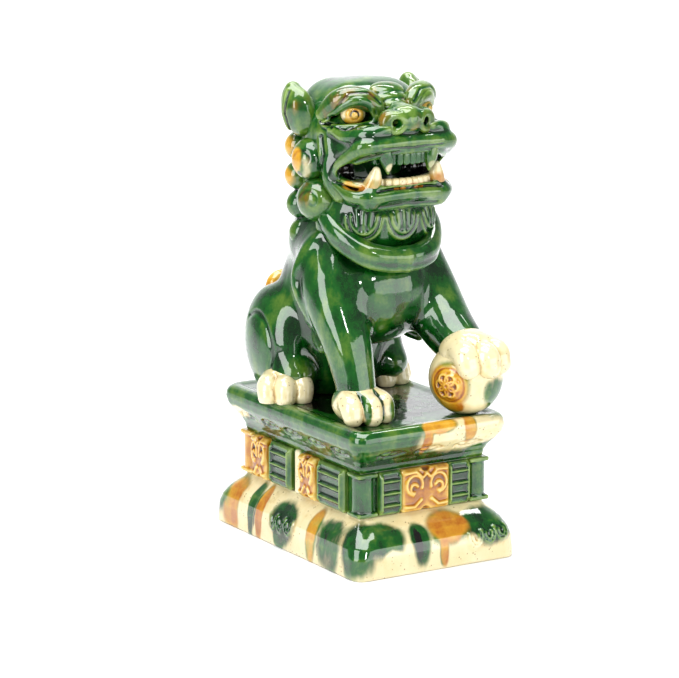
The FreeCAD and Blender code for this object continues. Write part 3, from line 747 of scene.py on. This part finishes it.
def build_paws(sizes):
    """Four paws, of which the left forepaw rests on the ball."""
    grain = sizes.grain * 0.9
    for side, word in SIDES:
        x, y = (-28.5, 17) if side < 0 else (25.5, 25)
        clay = Clay((x - 18, y - 17, 59), (x + 18, y + 21, 80), grain)
        paw(clay, (x, y, 66.2), side * 30, 1.0)
        off_the_field(clay, 61.3)
        name = f"{word}_hind_paw"
        piece(f"lion_{name}", clay, [name], "cream", [("green", (x, y + 12, 72), (12, 6, 9))])
    clay = Clay((-37, -51, 59), (-6, -18, 80), grain)
    paw(clay, (-21.5, -34, 67.5), -4, 1.0)
    off_the_field(clay, 61.3)
    spots = [("green", (-21.5, -26, 74), (16, 6, 7)), ("green", (-17.8, -42, 70), (1.3, 8, 9)),
             ("green", (-25.4, -42, 70), (1.3, 8, 9)), ("green", (-12, -38, 66), (4, 9, 6))]
    piece("lion_right_forepaw", clay, ["right_forepaw"], "cream", spots)
    clay = Clay((6, -68, 68), (43, -30, 102), grain)
    paw(clay, (24.5, -49, 86.5), 4, 1.12)
    clay.cut(ball((23.5, -43, 76.4), 15.2), 0)
    piece("lion_left_forepaw", clay, ["left_forepaw"], "cream", [("green", (24, -36, 94), (16, 5, 8))])


def build_ball(sizes):
    """The ball and its six-petalled flower."""
    clay = Clay((6, -61, 59), (42, -25, 93), sizes.grain * 0.8)
    clay.add(ball(BALL_MIDDLE, BALL_RADIUS), 0)
    out = unit((-0.9, -0.43, -0.06))
    at = np.array(BALL_MIDDLE) + BALL_RADIUS * out
    middles = [(3.0 * math.cos(a), 3.0 * math.sin(a)) for a in np.radians(np.arange(6) * 60)]
    petals = [arc(middle, (2.2, 2.2), 0, 360) for middle in middles]
    clay.emboss(at, out, petals + [arc((0, 0), (1.1, 1.1), 0, 360)], 0.6, 0.9, 9)
    clay.emboss(at, out, [arc((0, 0), (7.2, 7.2), 0, 360, 30)], 0.5, -0.5, 10)
    off_the_field(clay, 61.2)
    spots = [("amber", tuple(at), (9.5, 9.5, 9.5)), ("amber", tuple(at + (4, 2, -9)), (5, 5, 4)),
             ("green", (34, -54, 70), (10, 9, 7), 0.8), ("green", (28, -57, 74), (6, 5, 5), 0.7)]
    piece("lion_ball", clay, ["ball"], "cream", spots)


def build_tail(sizes):
    """A tail that lies against the rump and splits into two hooks."""
    clay = Clay((-20, 38, 60), (20, 61, 114), sizes.grain * 0.8)
    clay.add(stroke([(0, 44, 64), (-2, 50, 74), (1, 52, 86), (-3, 53, 96)], (6.5, 6, 5.2, 4.6)), 0)
    for side in (-1, 1):
        hook = [(2, 51, 88), (9, 52, 90), (13, 53, 97), (12, 53.5, 105), (7, 53.5, 107), (6, 54, 102)]
        clay.add(stroke(flip(hook, side), (4.2, 4.2, 4.0, 3.4, 2.8, 2.2)), 1.2)
        clay.emboss((side * 8, 57, 92), (0, 1, 0.2), [arc((side * 1, 4), (6, 9), -100, 80)], 0.7, -0.7, 14)
    clay.emboss((0, 57, 78), (0, 1, 0.2), [[(-2, -12), (-1.4, 0), (-2.4, 12)],
                                           [(2.2, -12), (2, 0), (1.2, 12)]], 0.7, -0.7, 16)
    off_the_field(clay, 61.4)
    piece("lion_tail", clay, ["tail"], "amber", [("green", (0, 45, 66), (12, 8, 9))])


def build_collar(sizes):
    """A double roll round the neck that dips over the chest."""
    clay = Clay((-36, -41, 112), (36, 36, 158), sizes.grain)
    half = [(21.5, 6, 152), (22.8, -6, 146), (22.4, -17, 138.5), (16, -27, 131.6), (8, -31.6, 129.2),
            (0, -32.8, 128.6)]
    both(clay, half, (3.0, 4.2, 4.8, 4.8, 4.6, 4.6))
    both(clay, [(x * 1.08, y * 1.05, z - 4.2) for x, y, z in half], (1.6, 1.8, 2.0, 2.0, 2.0, 2.0))
    both(clay, [(21.5, 6, 152), (19.5, 17, 152.5), (11, 23.5, 152.5), (0, 25, 152.5)], 2.6)
    inner = trunk_form(Clay((-36, -41, 112), (36, 36, 158), sizes.grain))
    clay.field = np.maximum(clay.field, -(inner.field + 1.5))
    piece("lion_collar", clay, ["collar"], "green")


PENDANT = [arc((0, 2), (7.8, 9.6), 180, 360), arc((0, 2.6), (5.6, 7.4), 180, 360)]
RIBS = [[(x, 6.5), (x * 0.75, -3.6 + abs(x) * 0.5)] for x in (-3.2, 0, 3.2)]


def build_beard(sizes):
    """A band under the chin with three ribbed pendants."""
    clay = Clay((-32, -38, 127), (32, 0, 156), sizes.grain * 0.8)
    clay.add(ball((0, -8, 142), (26.5, 23.5, 22)), 0)
    clay.cut(slab((0, -2, 140), (20, 20, 30), 4), 0)
    clay.cut(slab((0, 10, 140), (60, 14, 30), 0), 0)
    for angle in (-38, 0, 38):
        a = math.radians(angle)
        out = (math.sin(a), -math.cos(a), -0.1)
        at = (26 * math.sin(a), -8 - 23.3 * math.cos(a), 143.6)
        clay.emboss(at, out, PENDANT, 1.0, 0.95, 14)
        clay.emboss(at, out, RIBS, 1.1, 0.6, 11)
        clay.emboss(at, out, [[(0, 4), (0, -2)]], 4.6, 0.8, 12)
    clay.keep(slab((0, 0, 141.5), (60, 60, 12), 0))
    piece("lion_beard", clay, ["beard"], "green", [("dark_glaze_and_painted_shade", (-24, -20, 141), (2.5, 2.5, 1.6))])


# ------------------------------------------------------------------ head


def mouth_form(clay):
    """The open mouth: wide at the front, narrowing back past the corners."""
    forms = (
        slab((0, -30, 166), (17.5, 14, 4.4), 1.6),
        slab((0, -24, 165.2), (25, 5.6, 3.6), 2.4),
        slab((0, -25, 166), (14, 14, 6.2), 3),
    )
    for form in forms:
        clay.cut(form, 1.2)


def head_block(clay):
    """Cranium and muzzle, the mass the face is modelled on."""
    clay.add(ball((0, -1, 178.5), (26.5, 25, 21.2)), 0)
    clay.add(slab((0, 3, 183), (22.5, 20, 16.6), 13.5), 5)
    clay.add(slab((0, -20, 177), (21.5, 17, 7.5), 6.5), 5)
    clay.add(slab((0, -6, 166), (24.5, 17, 14), 9), 5)
    return clay


def build_skull(sizes):
    """Cranium, muzzle, upper lip, lids and the folds round them."""
    clay = head_block(Clay((-34, -45, 146), (34, 30, 203), sizes.grain * 0.8))
    clay.add(stroke([(0, -12, 186), (0, -24, 187), (0, -34, 186.6)], (10, 6.8, 6.2)), 4)
    both(clay, [(23.8, -9, 179), (24.2, -11, 169), (23.6, -14, 160), (21.5, -16, 154)],
         (2.2, 3.6, 3.8, 3.0), 4.5)
    both(clay, [(25, -15, 182), (24, -24, 180), (18, -33, 182), (11, -36, 183.5)], (1.4, 2.2, 2.6, 2.0), 4)
    # the upper lip is a thick band that swells at its corners and dips to the corner of the mouth
    both(clay, [(24.2, -17, 163.5), (24.4, -21, 168), (23.4, -28, 172.5), (20.5, -33.6, 176.4),
                (11, -36.6, 177.2), (0, -36.8, 177.6)],
         (1.8, 2.4, 2.8, 3.8, 3.4, 3.0), 1.4)
    both(clay, [(22.6, -20, 167), (21, -29, 170.5), (15, -34.5, 173.3), (6, -36.4, 174.2),
                (0, -36.5, 174.4)], (1.6, 1.9, 2.0, 1.8, 1.8), 1.0)
    mouth_form(clay)
    for side, _ in SIDES:
        clay.cut(ball((side * 16.8, -20.4, 188.3), (6.6, 6.0, 5.0), (0, 0, side * 30)), 1.5)
        lids = [(9.5, -25.6, 186.6), (12, -24.6, 192.4), (17.5, -22.2, 194.2), (22.6, -16.8, 190.4),
                (26, -10, 184.4)]
        clay.add(stroke(flip(lids, side), (1.4, 2.2, 2.4, 2.0, 1.2)), 1.2)
        lids = [(9.5, -25.6, 186.2), (12.6, -24.8, 184.2), (18, -22.4, 183.2), (23, -17.2, 182.8),
                (26, -10, 183.2)]
        clay.add(stroke(flip(lids, side), (1.0, 1.5, 1.6, 1.4, 0.9)), 0.8)
        folds = [[(side * 4, 0.6), (side * -3, 2.6)], [(side * 4, -0.6), (side * -3, -1.8)]]
        clay.emboss((side * 25, -12, 184.6), (side, -0.8, 0), folds, 0.8, -0.9, 7)
        clay.emboss((side * 24.5, -14, 171), (side, -0.4, 0),
                    [[(side * 5, -9), (side * 3, 0), (side * 5, 7)]], 1.5, -1.5, 12)
        clay.emboss((side * 16, -35, 184), (side * 0.6, -1, 0.4),
                    [[(side * -9, 1.6), (side * 0, 2.2), (side * 7, 0.6)]], 0.7, -0.8, 12)
        wrinkles = [[(side * 0.5, 3 - n * 2.6), (side * 4, 1.2 - n * 2.6),
                     (side * 7.4, -2.6 - n * 2.4)] for n in range(-2, 2)]
        clay.emboss((side * 4, -28, 192), (side * 0.35, -0.5, 1), wrinkles, 0.55, -0.75, 9)
    seam = [(-15, 0.6), (-6, 0.6), (0, 0.2), (6, 0.6), (15, 0.6)]
    clay.emboss((0, -38, 175.4), (0, -1, 0), [seam], 0.5, -0.6, 17)
    # painted shade: near-black inside the open mouth and in its corners
    spots = [("dark_glaze_and_painted_shade", (0, -13, 167), (18, 20, 9))]
    spots += [("dark_glaze_and_painted_shade", (side * 16, -20, 165.5), (7.5, 9, 4.6)) for side, _ in SIDES]
    piece("lion_skull", clay, ["skull"], "green", spots)


def build_jaw(sizes):
    """The lower jaw, with its lip rolled outwards."""
    clay = Clay((-31, -45, 140), (31, 16, 173), sizes.grain * 0.8)
    clay.add(slab((0, -17, 155), (21.5, 19.5, 6.2), 5), 0)
    clay.add(ball((0, -6, 151), (23, 18, 9)), 3)
    both(clay, [(24, -14, 161), (23.6, -21, 158), (22.8, -28, 155.6), (18, -34, 155.2), (9, -36.2, 155.8),
                (0, -36.5, 156.2)],
         (2.2, 2.6, 3.0, 3.0, 2.8, 2.8), 1.4)
    both(clay, [(23.4, -20, 163), (22.4, -25, 160.6), (17, -33, 159.4), (8, -35.6, 159.8), (0, -36, 160)],
         (1.2, 1.6, 1.5, 1.3, 1.3), 0.8)
    mouth_form(clay)
    head = head_block(Clay(clay.low, clay.low + (np.array(clay.shape) - 1) * clay.voxel, sizes.grain * 0.8))
    clay.field = np.maximum(clay.field, -(head.field[tuple(slice(0, n) for n in clay.shape)] + 1.5))
    clay.emboss((0, -38, 157.6), (0, -1, 0.3), [[(-16, 0.6), (-8, 1.2), (0, 0.8), (8, 1.2), (16, 0.6)]],
                0.6, -0.9, 19)
    clay.emboss((0, -36, 151), (0, -1, -0.3), [[(-14, 0), (0, 0.8), (14, 0)]], 0.7, -0.6, 17)
    for side, _ in SIDES:
        clay.emboss((side * 23, -24, 157), (side, -0.4, 0.2),
                    [[(side * 6, 3.4), (0, 1.8), (side * -6, 1.2)]], 0.7, -0.8, 9)
    # the first spot is painted shade, near-black inside the mouth
    spots = [("dark_glaze_and_painted_shade", (0, -15, 164), (19, 19, 9)), ("cream", (0, -37, 161.4), (16, 5, 1.6)),
             ("amber", (-21.5, -28, 160), (5, 7, 2.2), 0.75),
             ("cream", (-20, -30, 161.5), (3, 4, 1.2), 0.7),
             ("amber", (22, -27, 160), (5, 6, 2.0)), ("amber", (0, -37, 161.4), (9, 5, 0.9))]
    piece("lion_lower_jaw", clay, ["lower_jaw"], "green", spots)


def tooth_row_tree():
    """A row of rounded blocks set along a shallow bow."""
    name = "lion_tooth_row"
    if name in bpy.data.node_groups:
        return bpy.data.node_groups[name]
    tree = bpy.data.node_groups.new(name, "GeometryNodeTree")
    kinds = {"Count": "Int", "Middle": "Vector", "Half Width": "Float", "Bow": "Float", "Tooth": "Vector",
             "Glaze": "Material"}
    for label, kind in kinds.items():
        tree.interface.new_socket(label, in_out="INPUT", socket_type=f"NodeSocket{kind}")
    tree.interface.new_socket("Teeth", in_out="OUTPUT", socket_type="NodeSocketGeometry")
    t = Tree(tree)
    given = t.node("NodeGroupInput").outputs
    end = t.node("ShaderNodeCombineXYZ", {"X": given["Half Width"]}).outputs[0]
    start = t.node("ShaderNodeVectorMath", {0: given["Middle"], 1: end}, operation="SUBTRACT").outputs[0]
    pitch = t.math("DIVIDE", t.math("MULTIPLY", given["Half Width"], 2.0),
                   t.math("SUBTRACT", given["Count"], 1.0))
    offset = t.node("ShaderNodeCombineXYZ", {"X": pitch}).outputs[0]
    line = t.node("GeometryNodeMeshLine", {"Count": given["Count"], "Start Location": start,
                                           "Offset": offset}, mode="OFFSET")
    along = t.node("ShaderNodeSeparateXYZ",
                   {0: t.node("GeometryNodeInputPosition").outputs[0]}).outputs["X"]
    sag = t.math("MULTIPLY", t.math("MULTIPLY", along, along), given["Bow"])
    bowed = t.node("ShaderNodeCombineXYZ", {"Y": sag}).outputs[0]
    points = t.node("GeometryNodeSetPosition", {"Geometry": line.outputs[0], "Offset": bowed})
    counts = {f"Vertices {axis}": 3 for axis in "XYZ"}
    block = t.node("GeometryNodeMeshCube", {"Size": given["Tooth"], **counts})
    tooth = t.node("GeometryNodeSubdivisionSurface", {"Mesh": block.outputs[0], "Level": 2})
    row = t.node("GeometryNodeInstanceOnPoints",
                 {"Points": points.outputs[0], "Instance": tooth.outputs[0]})
    row = t.node("GeometryNodeRealizeInstances", {"Geometry": row.outputs[0]})
    row = t.node("GeometryNodeSetShadeSmooth", {"Geometry": row.outputs[0]})
    row = t.node("GeometryNodeSetMaterial", {"Geometry": row.outputs[0], "Material": given["Glaze"]})
    t.node("NodeGroupOutput", {"Teeth": row.outputs[0]})
    return tree


def tooth_row(node, base, spots, **values):
    """A plain mesh of teeth that stands for one CAD node."""
    tree = tooth_row_tree()
    obj = bpy.data.objects.new(f"lion_{node}", bpy.data.meshes.new(f"lion_{node}"))
    bpy.context.scene.collection.objects.link(obj)
    modifier = obj.modifiers.new("teeth", "NODES")
    modifier.node_group = tree
    values["Glaze"] = glaze()
    for item in tree.interface.items_tree:
        if item.in_out == "INPUT":
            modifier[item.identifier] = values[item.name.replace(" ", "_")]
    mesh = bpy.data.meshes.new_from_object(obj.evaluated_get(bpy.context.evaluated_depsgraph_get()))
    obj.modifiers.remove(modifier)
    obj.data = mesh
    points = np.empty(len(mesh.vertices) * 3)
    mesh.vertices.foreach_get("co", points)
    for colour, share in masks(points.reshape(-1, 3) / MM, base, spots).items():
        set_attribute(mesh, colour, share)
    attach(obj, "root")
    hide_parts(node)


def build_teeth(sizes):
    """Two rows of teeth and four fangs."""
    tooth_row("upper_teeth", "green", (), Count=10, Middle=(0, -0.0354, 0.1716),
              Half_Width=0.0131, Bow=28.0, Tooth=(0.0033, 0.0036, 0.0076))
    stain = ("amber", (0, -35, 158.6), (14, 6, 1.4))
    tooth_row("lower_teeth", "cream", [stain], Count=9, Middle=(0, -0.0352, 0.1600),
              Half_Width=0.0116, Bow=26.0, Tooth=(0.0034, 0.0034, 0.0052))
    grain = sizes.grain * 0.6
    for side, word in SIDES:
        clay = Clay((side * 11 - 7, -42, 160), (side * 11 + 7, -28, 178), grain)
        clay.add(stroke([(side * 11.2, -35.0, 173.5), (side * 10.6, -35.6, 169.5),
                         (side * 10.0, -35.4, 165.2)], (3.4, 2.5, 0.7)), 0)
        piece(f"lion_{word}_upper_fang", clay, [f"{word}_upper_fang"], "green",
              [("cream", (side * 10.4, -38, 167.4), (1.6, 3, 2.0), 0.45)])
        clay = Clay((side * 15 - 8, -42, 153), (side * 15 + 8, -24, 173), grain)
        clay.add(stroke([(side * 16.2, -31.5, 158.5), (side * 15.2, -33, 162.5),
                         (side * 14.8, -34.0, 166.4)], (4.0, 3.2, 1.7)), 0)
        piece(f"lion_{word}_lower_fang", clay, [f"{word}_lower_fang"], "cream",
              [("amber", (side * 15.5, -33, 159.5), (6, 6, 4.6), 0.5),
               ("green", (side * 15.5, -33, 157), (6, 6, 2))])


# a thin veil of amber that turns the raised parts of the face olive
OLIVE = ("amber", (0, -10, 188), (80, 80, 80), 0.2)


def build_nose(sizes):
    """The nose between its two curled wings."""
    clay = Clay((-17, -45, 176), (17, -24, 198), sizes.grain * 0.7)
    clay.add(ball((0, -33.2, 187.4), (8.0, 6.8, 5.4)), 0)
    clay.add(ball((0, -36.2, 184.8), (4.6, 3.8, 3.2)), 1.5)
    for side, _ in SIDES:
        turns = [(math.cos(a), math.sin(a)) for a in np.radians(np.linspace(-165, 165, 10))]
        ring = [(7.4 + 3.6 * c, -36.6 + 1.9 * c, 185.6 + 3.4 * s) for c, s in turns]
        clay.add(ball((side * 8.0, -33.0, 186.4), (4.8, 4.4, 4.8)), 1.2)
        clay.add(stroke(flip(ring, side), (1.0, 1.4, 1.6, 1.7, 1.8, 1.8, 1.7, 1.6, 1.5, 1.4)), 1.8)
        clay.cut(stroke([(side * 6.8, -42, 185.6), (side * 7.4, -34.6, 186.0)], (1.7, 1.4)), 0.8)
    clay.cut(ball((0, -20, 186), (16, 8, 16)), 0)
    # the two near-black spots are painted shade inside the nostrils
    piece("lion_nose", clay, ["nose"], "green",
          [OLIVE] + [("dark_glaze_and_painted_shade", (s * 7.2, -34.4, 186.2), (1.5, 1.6, 1.4)) for s, _ in SIDES])


def build_brows(sizes):
    """A heavy arch over each eye and three folds between them."""
    for side, word in SIDES:
        clay = Clay((min(side * 4, side * 31), -32, 180), (max(side * 4, side * 31), -2, 203),
                    sizes.grain * 0.8)
        line = [(7.6, -24.8, 187.6), (9.2, -23.2, 192.0), (14.8, -19.8, 194.4), (21.2, -14.8, 193.4),
                (25.4, -9.0, 187.6)]
        clay.add(stroke(flip(line, side), (2.4, 4.0, 5.2, 4.9, 3.0)), 0)
        clay.emboss((side * 16, -22, 196), (side * 0.5, -1, 0.8),
                    [[(side * -9, -3), (side * -4, 0.6), (side * 4, 0.2), (side * 9, -4)]], 0.6, -0.5, 13)
        name = f"{word}_brow"
        piece(f"lion_{name}", clay, [name], "green", [OLIVE])
    clay = Clay((-11, -31, 185), (11, -10, 203), sizes.grain * 0.8)
    for y, z, radii in ((-18.2, 197.0, (8.0, 5.0, 2.8)), (-21.6, 194.6, (7.0, 4.2, 2.4)),
                        (-24.6, 192.2, (5.4, 3.6, 2.2))):
        clay.add(ball((0, y, z), radii, (24, 0, 0)), 0.4)
    piece("lion_forehead_boss", clay, ["forehead_boss"], "green",
          [OLIVE, ("amber", (0, -26, 191.5), (3, 3, 1.6), 0.7)])


def build_eyes(sizes):
    """Eyeballs with an engraved iris."""
    for side, word in SIDES:
        centre = np.array((side * 16.6, -18.6, 188.2))
        clay = Clay(centre - 7, centre + 7, sizes.grain * 0.5)
        clay.add(ball(centre, (5.2, 5.2, 4.4)), 0)
        look = centre + 5.2 * unit((side * 0.42, -1, 0.02))
        clay.emboss(look, (side * 0.42, -1, 0.02), [arc((0, 0), (1.9, 1.9), 0, 360)], 0.45, -0.35, 5)
        spots = [("amber", look, (4.6, 4.0, 3.8), 0.8), ("dark_glaze_and_painted_shade", look, (2.4, 2.2, 2.4), 0.55),
                 ("amber", look, (1.2, 1.2, 1.2), 0.8),
                 ("amber", centre + (side * 2, -4, -3.4), (7, 5, 2.6), 0.8)]
        piece(f"lion_{word}_eyeball", clay, [f"{word}_eyeball"], "cream", spots)


def build_ears(sizes):
    """Leaf-shaped ears that face forwards and outwards."""
    for side, word in SIDES:
        clay = Clay((side * 28 - 10, -7, 172), (side * 28 + 10, 21, 203), sizes.grain * 0.7)
        clay.add(ball((side * 27.4, 7.0, 187.0), (5.2, 8.4, 11.0), (-10, side * 8, side * -20)), 0)
        clay.add(stroke(flip([(27.8, 8, 189), (28.4, 9.2, 193), (28.6, 9.6, 195.8)], side),
                        (6.0, 5.0, 3.6)), 1.5)
        rim = [(25.2, 12.0, 179), (26.6, 13.6, 187), (28.0, 12.2, 193), (28.6, 10.6, 196.6)]
        clay.add(stroke(flip(rim, side), (1.5, 1.8, 1.5, 0.9)), 1.0)
        out = (side, -0.75, 0.12)
        clay.emboss((side * 31.0, 4.2, 187), out,
                    [[(side * 3.4, -9), (side * 4.8, -1), (side * 2.6, 8.5)]], 0.5, -0.8, 13)
        clay.emboss((side * 31.0, 4.2, 187), out,
                    [[(side * 5.0, -9), (side * 6.4, -1), (side * 4.0, 9.5)]], 1.1, 0.5, 13)
        clay.emboss((side * 31.0, 4.2, 186), out,
                    [[(side * -1.6, -6), (side * -1.2, 0), (side * -0.6, 5)]], 2.6, 0.9, 11)
        piece(f"lion_{word}_ear", clay, [f"{word}_ear"], "green", [OLIVE])


# ------------------------------------------------------------------ mane


def curl(clay, centre, out, radii, side):
    """A pillow of hair with a snail line on its face."""
    clay.add(ball(centre, radii), 0.6)
    out = unit(out)
    reach = float(np.abs(out) @ np.asarray(radii))
    at = np.asarray(centre) + reach * out
    size = 0.62 * sorted(radii)[1]
    clay.emboss(at, out, [spiral(size, 0.7, side, math.pi * 0.9)], 0.8, -0.3, sorted(radii)[2] * 1.15)


def build_mane(sizes):
    """The cap of hair with two large curls on each side and three columns at the nape."""
    clay = Clay((-32, -13, 120), (32, 33, 198), sizes.grain)
    clay.add(ball((0, 4, 158), (25.5, 17.5, 33)), 0)
    clay.add(ball((0, 4, 174), (26, 19, 21)), 3)
    piece("lion_mane", clay, ["mane"], "green")
    grain = sizes.grain * 0.8
    for side, word in SIDES:
        clay = Clay((side * 26 - 13, -12, 155), (side * 26 + 13, 13, 181), grain)
        curl(clay, (side * 25.4, 0.8, 167.6), (side, -0.75, 0), (7.8, 8.8, 9.0), side)
        piece(f"lion_{word}_upper_curl", clay, [f"{word}_upper_side_curl"], "green",
              [("cream", (side * 31.5, -2, 164), (4, 6, 6), 0.45),
               ("amber", (side * 32.5, 1.0, 167.6), (4, 4.0, 5.8)),
               ("dark_glaze_and_painted_shade", (side * 32, -0.4, 161.6), (1.6, 1.4, 1.4), 0.8)])
        clay = Clay((side * 26 - 13, -17, 138), (side * 26 + 13, 10, 164), grain)
        curl(clay, (side * 24.2, -3.4, 150.8), (side, -0.75, 0), (9.0, 9.4, 9.4), side)
        piece(f"lion_{word}_lower_curl", clay, [f"{word}_lower_side_curl"], "green",
              [("amber", (side * 30, -6, 152), (8, 8, 8), 0.27)])
    rows = ((171.0, 20.5), (158.6, 20.6), (146.4, 19.2), (134.4, 17.0))
    for name, x in (("right_nape_curls", -19.0), ("middle_nape_curls", 0.0), ("left_nape_curls", 19.0)):
        clay = Clay((x - 13, 4, 123), (x + 13, 33, 182), grain)
        for index, (z, y) in enumerate(rows):
            back = y - abs(x) * 0.30
            curl(clay, (x * 1.1, back, z), (x * 0.05, 1, 0), (8.0, 6.4, 6.8),
                 1 if (index + (x > 0)) % 2 else -1)
        spots = [("amber", (x * 1.45, 20, 171), (8, 9, 5.5), 0.9),
                 ("amber", (x * 1.45, 20, 158), (8, 9, 5), 0.9)]
        piece(f"lion_{name}", clay, [name], "green", spots)


# ------------------------------------------------------------------ stage


def plain(name, colour, roughness):
    """A matt material with a faint unevenness."""
    material = bpy.data.materials.new(name)
    material.use_nodes = True
    t = Tree(material.node_tree)
    where = t.node("ShaderNodeTexCoord").outputs["Object"]
    tint = t.ramp(t.noise(where, 6.0), ((0.3, tuple(c * 0.985 for c in colour)), (0.7, colour)))
    shader = t.node("ShaderNodeBsdfPrincipled", {"Base Color": tint, "Roughness": roughness})
    t.node("ShaderNodeOutputMaterial", {"Surface": shader.outputs[0]})
    return material


def softbox(name, at, target, size, watts):
    """A rectangular area light that points at its target."""
    light = bpy.data.lights.new(name, "AREA")
    light.shape, light.size, light.size_y, light.energy = "RECTANGLE", size[0], size[1], watts
    obj = bpy.data.objects.new(name, light)
    obj.location = at
    obj.rotation_euler = (Vector(target) - Vector(at)).to_track_quat("-Z", "Y").to_euler()
    bpy.context.scene.collection.objects.link(obj)


MIDDLE = (0, 0, 0.11)
CAMERA = (-0.7173, -1.1470, 0.3805)
AIM = (-0.00846, 0.0052, 0.08759)
# softboxes as (name, place, target, size, watts), in metres
SOFTBOXES = (
    ("softbox_over", (-0.15, -0.1, 0.95), MIDDLE, (0.8, 0.7), 8.0),
    ("softbox_left", (-0.95, -0.25, 0.45), MIDDLE, (0.45, 0.8), 4.2),
    ("softbox_right", (0.36, -1.05, 0.24), MIDDLE, (1.5, 0.5), 4.6),
    ("softbox_front", (-0.35, -1.1, 0.65), MIDDLE, (0.12, 0.12), 0.9),
    ("softbox_backdrop", (0.35, 0.55, 1.5), (0.80, 1.30, 0.1), (1.6, 0.4), 16),
)


def build_floor(height):
    """Paper that runs back from the statue and curves up behind it."""
    bend = [(0.9 + 0.6 * math.sin(a), 0.6 - 0.6 * math.cos(a)) for a in np.radians(range(10, 91, 10))]
    profile = [(-1.6, 0.0), (0.9, 0.0)] + bend + [(1.5, 3.0)]
    points = [(x, y, height + z) for y, z in profile for x in (-4.0, 4.0)]
    faces = [(2 * i, 2 * i + 1, 2 * i + 3, 2 * i + 2) for i in range(len(profile) - 1)]
    mesh = bpy.data.meshes.new("studio_floor")
    mesh.from_pydata(points, [], faces)
    mesh.shade_smooth()
    mesh.materials.append(plain("studio_paper", (0.90, 0.905, 0.91), 0.9))
    floor = bpy.data.objects.new("studio_floor", mesh)
    bpy.context.scene.collection.objects.link(floor)
    floor.rotation_euler = (0, 0, math.radians(-31.6))
    floor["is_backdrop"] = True


def build_camera(lens):
    """A camera with the view that the statue is compared from."""
    camera = bpy.data.cameras.new("camera")
    camera.lens, camera.sensor_width, camera.clip_start = lens, 36.0, 0.01
    obj = bpy.data.objects.new("camera", camera)
    obj.location = CAMERA
    obj.rotation_euler = (Vector(AIM) - obj.location).to_track_quat("-Z", "Y").to_euler()
    bpy.context.scene.collection.objects.link(obj)
    bpy.context.scene.camera = obj


def build_stage(sizes):
    """Floor, softboxes, sky light and camera."""
    build_floor(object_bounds()[0][2])
    for light in SOFTBOXES:
        softbox(*light)
    world = bpy.data.worlds.new("studio")
    world.use_nodes = True
    sky = world.node_tree.nodes["Background"].inputs
    sky["Color"].default_value = (0.98, 0.99, 1.0, 1)
    sky["Strength"].default_value = 0.23
    scene = bpy.context.scene
    scene.world = world
    scene.view_settings.view_transform = "Standard"
    scene.view_settings.look = "Medium High Contrast"
    build_camera(sizes.lens)


# ------------------------------------------------------------------ add-on


class LionSizes(bpy.types.PropertyGroup):
    """What can be changed before the pieces are built."""

    grain: FloatProperty(name="Grain", description="Cell size of the clay blocks, in millimetres",
                         default=0.55, min=0.3, max=2)
    lens: FloatProperty(name="Lens", description="Focal length of the camera, in millimetres",
                        default=171.7, min=20, max=400, unit="CAMERA")
    green: FloatVectorProperty(name="Green glaze", description="Copper green at its usual depth",
                               subtype="COLOR", min=0, max=1, default=(0.004, 0.098, 0.008))
    amber: FloatVectorProperty(name="Amber glaze", description="Iron amber at its usual depth",
                               subtype="COLOR", min=0, max=1, default=(0.66, 0.36, 0.030))
    cream: FloatVectorProperty(name="Cream glaze", description="Clear glaze on clay, at its usual depth",
                               subtype="COLOR", min=0, max=1, default=(0.76, 0.64, 0.35))


STEPS = (
    ("foot", "Plinth foot", "The swelling foot of the plinth with its scalloped relief", build_foot),
    ("waist", "Plinth waist", "The recessed wall between foot and slab", build_waist),
    ("slab", "Plinth slab", "The slab that the lion sits on", build_slab),
    ("ornament", "Waist ornament", "Corner posts, scroll plaques and fret panels", build_ornament),
    ("body", "Body", "Trunk, haunches, forelegs and the locks behind the shoulders", build_body),
    ("paws", "Paws", "The four three-toed paws", build_paws),
    ("ball", "Ball", "The ball under the left forepaw with its flower", build_ball),
    ("tail", "Tail", "The curled tail against the rump", build_tail),
    ("collar", "Collar", "The rolled collar round the neck", build_collar),
    ("beard", "Beard", "The ribbed pendants under the chin", build_beard),
    ("skull", "Skull", "Cranium, muzzle, eyelids and upper lip", build_skull),
    ("jaw", "Lower jaw", "The jaw and its wavy lower lip", build_jaw),
    ("teeth", "Teeth", "Both rows of teeth and the four fangs", build_teeth),
    ("nose", "Nose", "The nose with its curled wings", build_nose),
    ("brows", "Brows", "Brows and the folds between them", build_brows),
    ("eyes", "Eyes", "The two eyeballs", build_eyes),
    ("ears", "Ears", "The two leaf-shaped ears", build_ears),
    ("mane", "Mane", "The mane and its snail curls", build_mane),
    ("stage", "Stage", "Floor, lights and camera", build_stage),
)


def make_operator(key, label, description, build):
    """One operator that builds a piece or a group of like pieces."""

    def execute(self, context):
        build(context.scene.lion_sizes)
        return {"FINISHED"}

    body = {"bl_idname": f"lion.{key}", "bl_label": label, "__doc__": description, "execute": execute}
    return type(f"LION_OT_{key}", (bpy.types.Operator,), body)


class LION_PT_panel(bpy.types.Panel):
    """Buttons for every step, in order."""

    bl_label = "Guardian lion"
    bl_space_type = "VIEW_3D"
    bl_region_type = "UI"
    bl_category = "Lion"

    def draw(self, context):
        sizes = context.scene.lion_sizes
        for name in ("grain", "lens", "green", "amber", "cream"):
            self.layout.prop(sizes, name)
        for key, label, _, _ in STEPS:
            self.layout.operator(f"lion.{key}", text=label)


CLASSES = (LionSizes, *(make_operator(*step_) for step_ in STEPS), LION_PT_panel)


def register():
    """Adds the classes and the settings to Blender."""
    for cls in CLASSES:
        bpy.utils.register_class(cls)
    bpy.types.Scene.lion_sizes = PointerProperty(type=LionSizes)


def unregister():
    """Takes them away again."""
    del bpy.types.Scene.lion_sizes
    for cls in reversed(CLASSES):
        bpy.utils.unregister_class(cls)


def main():
    """Builds every piece in order."""
    register()
    for key, *_ in STEPS:
        if getattr(bpy.ops.lion, key)() != {"FINISHED"}:
            raise RuntimeError(f"lion.{key} did not finish")
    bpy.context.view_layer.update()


if __name__ == "__main__":
    main()
